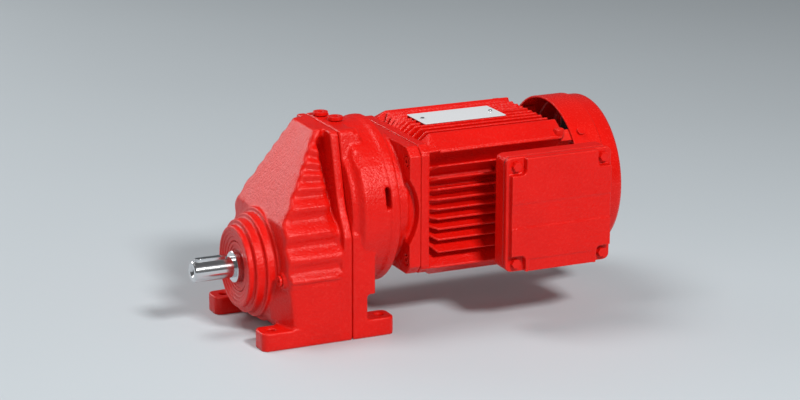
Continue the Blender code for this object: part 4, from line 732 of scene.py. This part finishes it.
class GEARUNIT_OT_output_shaft(bpy.types.Operator):
    """Turn the output shaft with its centre hole and mill its keyway"""
    bl_idname = "gearunit.output_shaft"
    bl_label = "Output Shaft"

    journal = 30 * MM
    collar = 36 * MM
    gear_seat = 28 * MM
    rear_journal = 25 * MM
    stations = (("bearing_end", 28.3), ("gear_start", 65.7), ("gear_end", 88.0), ("rear", 109.8))

    def execute(self, context):
        shaft = settings("gear_unit_shaft")
        radius = shaft.diameter / 2
        place = {name: SHOULDER + x * MM for name, x in self.stations}
        hole = [(SHAFT_TIP + 18 * MM, 0.0), (SHAFT_TIP + 16 * MM, 3 * MM), (SHAFT_TIP + 2 * MM, 3 * MM),
                (SHAFT_TIP, 5 * MM)]
        journal = self.journal / 2
        profile = hole + [
            (SHAFT_TIP, radius - shaft.chamfer), (SHAFT_TIP + shaft.chamfer, radius), (SHOULDER, radius),
            (SHOULDER, journal - 0.6 * MM), (SHOULDER + 0.6 * MM, journal), (place["bearing_end"], journal),
            (place["bearing_end"], self.collar / 2), (place["gear_start"], self.collar / 2),
            (place["gear_start"], self.gear_seat / 2), (place["gear_end"], self.gear_seat / 2),
            (place["gear_end"], self.rear_journal / 2), (place["rear"], self.rear_journal / 2),
            (place["rear"], 0.0)]
        obj = turned("output_shaft_turned", profile, OUTPUT_HEIGHT, 128)
        for start, length, width, top, depth in (
                (SHAFT_TIP + 3 * MM, shaft.key_length, shaft.key_width, radius, shaft.key_depth),
                (SHOULDER + 68 * MM, 18 * MM, 8 * MM, self.gear_seat / 2, 4 * MM)):
            cutter = self.keyway(start, length, width + 0.3 * MM, OUTPUT_HEIGHT + top, depth)
            finish_with(obj, "BOOLEAN", operation="DIFFERENCE", solver="EXACT", object=cutter)
            bpy.data.objects.remove(cutter)
        round_edges(obj, 0.2 * MM, 2, 40)
        choose(obj)
        bpy.ops.object.shade_smooth_by_angle(angle=math.radians(28))
        stand_for(obj, "output", finish_named("bright_steel"), "bright_steel", "output_shaft")
        return {"FINISHED"}

    def keyway(self, start, length, width, top, depth):
        """Round-ended tool for one keyway."""
        deselect()
        reach = 4 * MM
        bpy.ops.mesh.primitive_cylinder_add(vertices=48, radius=width / 2, depth=depth + reach,
                                            location=(start + width / 2, AXIS_Y, top + (reach - depth) / 2))
        tool = settle(bpy.context.active_object, "keyway_tool")
        edit(tool)
        half_way = start + width / 2
        pick(tool, lambda vertex: vertex.co.x > half_way + 1e-6)
        bpy.ops.transform.translate(value=(length - width, 0, 0))
        bpy.ops.object.mode_set(mode="OBJECT")
        return tool


class GEARUNIT_OT_output_key(bpy.types.Operator):
    """Model the parallel key in the shaft's keyway"""
    bl_idname = "gearunit.output_key"
    bl_label = "Output Key"

    def execute(self, context):
        shaft = settings("gear_unit_shaft")
        width = shaft.key_width
        bottom = OUTPUT_HEIGHT + shaft.diameter / 2 - shaft.key_depth
        start = SHAFT_TIP + 3 * MM
        deselect()
        bpy.ops.mesh.primitive_cylinder_add(vertices=64, radius=width / 2, depth=width,
                                            location=(start + width / 2, AXIS_Y, bottom + width / 2))
        key = settle(bpy.context.active_object, "output_key_ground")
        edit(key)
        half_way = start + width / 2
        pick(key, lambda vertex: vertex.co.x > half_way + 1e-6)
        bpy.ops.transform.translate(value=(shaft.key_length - width, 0, 0))
        bpy.ops.object.mode_set(mode="OBJECT")
        round_edges(key, 0.35 * MM, 3, 40)
        choose(key)
        bpy.ops.object.shade_smooth_by_angle(angle=math.radians(30))
        stand_for(key, "output", finish_named("bright_steel"), "bright_steel", "output_key")
        return {"FINISHED"}


class GEARUNIT_OT_fan_cowl(bpy.types.Operator):
    """Press the fan cowl with its step and its slotted air intake"""
    bl_idname = "gearunit.fan_cowl"
    bl_label = "Fan Cowl"

    start = 160.0
    step = 188.6
    bend = 202.5
    end = 209.0
    rings = (12.0, 25.0, 38.0)
    spokes = 6
    spoke_widths = (5, 3, 2)
    steps = 144

    def execute(self, context):
        cowl = settings("gear_unit_cowl")
        radius, rear = cowl.radius, cowl.radius - cowl.step_in
        end = self.end * MM
        profile = [(self.start * MM, radius), ((self.start + 1) * MM, radius), (self.step * MM, radius),
                   ((self.step + 1.4) * MM, rear), (self.bend * MM, rear),
                   ((self.bend + 2) * MM, rear - 0.5 * MM), ((self.bend + 4) * MM, rear - 1.9 * MM),
                   (end - 1 * MM, rear - 4.6 * MM), (end - 0.2 * MM, rear - 6.4 * MM), (end, rear - 9 * MM)]
        for inner in reversed(self.rings):
            profile += [(end, inner * MM + cowl.slot_width), (end, inner * MM)]
        profile.append((end, 0.0))
        obj = turned("fan_cowl_pressed", profile, MOTOR_HEIGHT, self.steps)
        edit(obj, "FACE")
        pick(obj, lambda face: self.in_slot(face, cowl.slot_width), "polygons")
        bpy.ops.mesh.delete(type="FACE")
        bpy.ops.object.mode_set(mode="OBJECT")
        finish_with(obj, "SOLIDIFY", thickness=cowl.wall, offset=-1.0, use_even_offset=True)
        round_edges(obj, 0.4 * MM, 2, 50)
        choose(obj)
        bpy.ops.object.shade_smooth_by_angle(angle=math.radians(30))
        stand_for(obj, "unit", finish_named("sheet_enamel"), "red_paint", "fan_cowl")
        return {"FINISHED"}

    def in_slot(self, face, width):
        """Whether a face of the rear wall lies in an air slot."""
        centre = face.center
        if centre.x < (self.end - 0.05) * MM:
            return False
        out = math.hypot(centre.y - AXIS_Y, centre.z - MOTOR_HEIGHT)
        turn = math.degrees(math.atan2(centre.z - MOTOR_HEIGHT, centre.y - AXIS_Y)) % (360 / self.spokes)
        for inner, spoke in zip(self.rings, self.spoke_widths):
            half = spoke * 360 / self.steps / 2
            if inner * MM < out < inner * MM + width:
                return half < turn < 360 / self.spokes - half
        return False


class GEARUNIT_OT_frame_details(bpy.types.Operator):
    """Model the beads along the frame's upper corners and the small lugs behind them"""
    bl_idname = "gearunit.frame_details"
    bl_label = "Frame Beads"

    frame_half = 69.5 * MM
    edge = 171.4 * MM
    short = 22 * MM
    bead_radius = 1.3 * MM
    lug_size = (9 * MM, 7 * MM, 8 * MM)

    def execute(self, context):
        low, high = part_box("stator_frame")
        for side, wall in ((-1, AXIS_Y - self.frame_half), (1, AXIS_Y + self.frame_half)):
            deselect()
            length = high.x - low.x - self.short
            middle = (high.x - 3 * MM - length / 2, wall - side * 0.5 * MM, self.edge)
            bpy.ops.mesh.primitive_cylinder_add(vertices=24, radius=self.bead_radius, depth=length,
                                                rotation=(0, math.pi / 2, 0), location=middle)
            bead = settle(bpy.context.active_object, "frame_bead_near" if side < 0 else "frame_bead_far")
            round_edges(bead, 0.9 * MM, 4, 50)
            choose(bead)
            bpy.ops.object.shade_smooth_by_angle(angle=math.radians(40))
            stand_for(bead, "unit", finish_named("red_paint"), "red_paint")
            deselect()
            middle = (high.x - 4.5 * MM, wall - side * 4.0 * MM, self.edge + 4.5 * MM)
            bpy.ops.mesh.primitive_cube_add(size=1, scale=self.lug_size, location=middle)
            lug = settle(bpy.context.active_object, "frame_lug_near" if side < 0 else "frame_lug_far")
            round_edges(lug, 2.0 * MM, 5, 50)
            choose(lug)
            bpy.ops.object.shade_smooth_by_angle(angle=math.radians(40))
            stand_for(lug, "unit", finish_named("red_paint"), "red_paint")
        return {"FINISHED"}


class GEARUNIT_OT_plugs_and_screws(bpy.types.Operator):
    """Round the edges of the painted plugs and screws"""
    bl_idname = "gearunit.plugs_and_screws"
    bl_label = "Plugs and Screws"

    def execute(self, context):
        grain = settings("gear_unit_castings").screw_grain
        nodes = ["breather_plug", "filler_plug", "oil_level_plug"]
        nodes += [f"cover_screw_{number}" for number in range(1, 5)]
        nodes += [f"cowl_screw_{number}" for number in range(1, 5)]
        for node in nodes:
            skin = cast_skin(node, grain, 3)
            stand_for(skin, "unit", finish_named("screw_enamel"), "red_paint", node)
        return {"FINISHED"}


class GEARUNIT_OT_nameplate(bpy.types.Operator):
    """Round the edges of the blank plate and dome its two rivets"""
    bl_idname = "gearunit.nameplate"
    bl_label = "Blank Plate"

    def execute(self, context):
        plate = cast_skin("nameplate", 0.3 * MM, 2, 90000)
        stand_for(plate, "unit", finish_named("blank_plate"), "blank_plate", "nameplate")
        for number in (1, 2):
            node = f"nameplate_rivet_{number}"
            rivet = cast_skin(node, 0.14 * MM, 12)
            stand_for(rivet, "unit", finish_named("bright_steel"), "bright_steel", node)
        return {"FINISHED"}


class GEARUNIT_OT_inner_pieces(bpy.types.Operator):
    """Give every solid that keeps its shape the finish of its slot"""
    bl_idname = "gearunit.inner_pieces"
    bl_label = "Inner Pieces"

    def execute(self, context):
        slots = {entry["node"]: entry["material_slot"] for entry in frame["record"]["subparts"]}
        for name, obj in frame["nodes"].items():
            slot = "screw_enamel" if name.startswith("flange_bolt") else slots[name]
            material = finish_named(slot)
            for place in obj.material_slots:
                place.material = material
        return {"FINISHED"}


class GEARUNIT_OT_stage(bpy.types.Operator):
    """Set up the floor, the lamps, the surroundings and the camera"""
    bl_idname = "gearunit.stage"
    bl_label = "Stage"

    turn = math.radians(25.2)
    rise = math.radians(15.9)
    roll = math.radians(0.2)
    distance = 2.4914
    focal_pixels = 2592.4
    image_width = 800
    target = (0.005, 0.021, 0.1077)
    sensor = 36.0
    # Name, place and aim in metres, width, height, watts
    lamps = (
        ("overhead_softbox", (-0.55, 0.30, 1.9), (-0.05, 0.0, 0.1), 0.8, 0.8, 15),
        ("front_softbox", (0.22, -1.9, 1.6), (0.0, 0.0, 0.1), 0.45, 0.35, 48),
        ("side_softbox", (-1.9, -1.3, 0.9), (0.0, 0.0, 0.1), 0.8, 0.8, 4),
        ("back_softbox", (-1.05, 1.9, 0.75), (0.0, 0.0, 0.1), 1.4, 0.8, 15),
    )

    def execute(self, context):
        stage = settings("gear_unit_stage")
        self.floor(stage.floor)
        self.surroundings(stage.floor)
        for name, place, aim, width, height, power in self.lamps:
            self.lamp(name, place, aim, width, height, power * stage.light)
        self.camera()
        return {"FINISHED"}

    def floor(self, colour):
        """Wide floor that curves up far behind the object."""
        deselect()
        bpy.ops.mesh.primitive_plane_add(size=12.0, location=(0, 0, 0))
        floor = settle(bpy.context.active_object, "studio_floor")
        edit(floor, "EDGE")
        points = floor.data.vertices
        far = max(vertex.co.y for vertex in points)
        pick(floor, lambda edge: all(points[i].co.y > far - 0.01 for i in edge.vertices), "edges")
        for forward, upward in ((0.4, 0.05), (0.4, 0.2), (0.3, 0.4), (0.1, 0.7), (0.0, 3.0)):
            bpy.ops.mesh.extrude_region_move(TRANSFORM_OT_translate={"value": (0, forward, upward)})
        bpy.ops.object.mode_set(mode="OBJECT")
        bpy.ops.object.shade_smooth()
        finish = Finish("plain_floor")
        cloud = finish.ramp(finish.noise(0.7, 2.0), (0.3, 0.0), (0.7, 1.0))
        tint = finish.blend(cloud * 0.35, tuple(colour), tuple(part * 0.9 for part in colour))
        finish.set(Base_Color=tint, Roughness=0.62 + cloud * 0.05)
        finish.shader.inputs["Specular IOR Level"].default_value = 0.25
        paint_with(floor, finish.material)

    def surroundings(self, colour):
        """Even pale surroundings, the colour of the floor to the camera."""
        world = bpy.data.worlds.new("studio")
        bpy.context.scene.world = world
        world.use_nodes = True
        tree = world.node_tree
        plain = tree.nodes["Background"]
        plain.inputs["Color"].default_value = (0.95, 0.97, 1.0, 1.0)
        plain.inputs["Strength"].default_value = 0.13
        shown = tree.nodes.new("ShaderNodeBackground")
        shown.inputs["Color"].default_value = (*colour, 1.0)
        shown.inputs["Strength"].default_value = 1.0
        path = tree.nodes.new("ShaderNodeLightPath")
        mixed = tree.nodes.new("ShaderNodeMixShader")
        tree.links.new(path.outputs["Is Camera Ray"], mixed.inputs[0])
        tree.links.new(plain.outputs[0], mixed.inputs[1])
        tree.links.new(shown.outputs[0], mixed.inputs[2])
        tree.links.new(mixed.outputs[0], tree.nodes["World Output"].inputs[0])

    def lamp(self, name, place, aim, width, height, power):
        """Rectangular softbox that looks at a point."""
        light = bpy.data.lights.new(name, "AREA")
        light.shape = "RECTANGLE"
        light.size = width
        light.size_y = height
        light.energy = power
        obj = bpy.data.objects.new(name, light)
        bpy.context.scene.collection.objects.link(obj)
        obj.location = place
        obj.rotation_euler = (Vector(aim) - Vector(place)).to_track_quat("-Z", "Y").to_euler()

    def camera(self):
        """Camera at the viewing angle of the picture."""
        right = Vector((math.cos(self.turn), -math.sin(self.turn), 0))
        up = Vector((math.sin(self.turn) * math.sin(self.rise), math.cos(self.turn) * math.sin(self.rise),
                     math.cos(self.rise)))
        back = right.cross(up)
        rolled_right = right * math.cos(self.roll) + up * math.sin(self.roll)
        rolled_up = up * math.cos(self.roll) - right * math.sin(self.roll)
        data = bpy.data.cameras.new("camera")
        data.sensor_width = self.sensor
        data.lens = self.sensor * self.focal_pixels / self.image_width
        data.clip_end = 40.0
        obj = bpy.data.objects.new("camera", data)
        bpy.context.scene.collection.objects.link(obj)
        turn = Matrix((rolled_right, rolled_up, back)).transposed().to_4x4()
        obj.matrix_world = Matrix.Translation(Vector(self.target) + back * self.distance) @ turn
        bpy.context.scene.camera = obj


OPERATORS = (
    GEARUNIT_OT_front_housing,
    GEARUNIT_OT_rear_housing,
    GEARUNIT_OT_motor_castings,
    GEARUNIT_OT_boss_rings,
    GEARUNIT_OT_output_shaft,
    GEARUNIT_OT_output_key,
    GEARUNIT_OT_fan_cowl,
    GEARUNIT_OT_frame_details,
    GEARUNIT_OT_plugs_and_screws,
    GEARUNIT_OT_nameplate,
    GEARUNIT_OT_inner_pieces,
    GEARUNIT_OT_stage,
)

GROUPS = (
    ("gear_unit_paint", GearUnitPaint),
    ("gear_unit_castings", GearUnitCastings),
    ("gear_unit_shaft", GearUnitShaft),
    ("gear_unit_cowl", GearUnitCowl),
    ("gear_unit_stage", GearUnitStage),
)


class GEARUNIT_PT_panel(bpy.types.Panel):
    """Panel with the values and the operators of the gear unit"""
    bl_idname = "GEARUNIT_PT_panel"
    bl_label = "Gear Unit"
    bl_space_type = "VIEW_3D"
    bl_region_type = "UI"
    bl_category = "Gear Unit"

    def draw(self, context):
        column = self.layout.column()
        for name, group in GROUPS:
            for value in group.__annotations__:
                column.prop(getattr(context.scene, name), value)
        for operator in OPERATORS:
            column.operator(operator.bl_idname)


def register():
    """Register the values, the operators and the panel."""
    for name, group in GROUPS:
        bpy.utils.register_class(group)
        setattr(bpy.types.Scene, name, bpy.props.PointerProperty(type=group))
    for operator in OPERATORS:
        bpy.utils.register_class(operator)
    bpy.utils.register_class(GEARUNIT_PT_panel)


def unregister():
    """Take the values, the operators and the panel out again."""
    bpy.utils.unregister_class(GEARUNIT_PT_panel)
    for operator in reversed(OPERATORS):
        bpy.utils.unregister_class(operator)
    for name, group in reversed(GROUPS):
        delattr(bpy.types.Scene, name)
        bpy.utils.unregister_class(group)


def main():
    """Register the values, the operators and the panel, use the standard view transform and make every piece
    in order.
    """
    register()
    bpy.context.scene.view_settings.view_transform = "Standard"
    for operator in OPERATORS:
        group, name = operator.bl_idname.split(".")
        getattr(getattr(bpy.ops, group), name)()


if __name__ == "__main__":
    main()
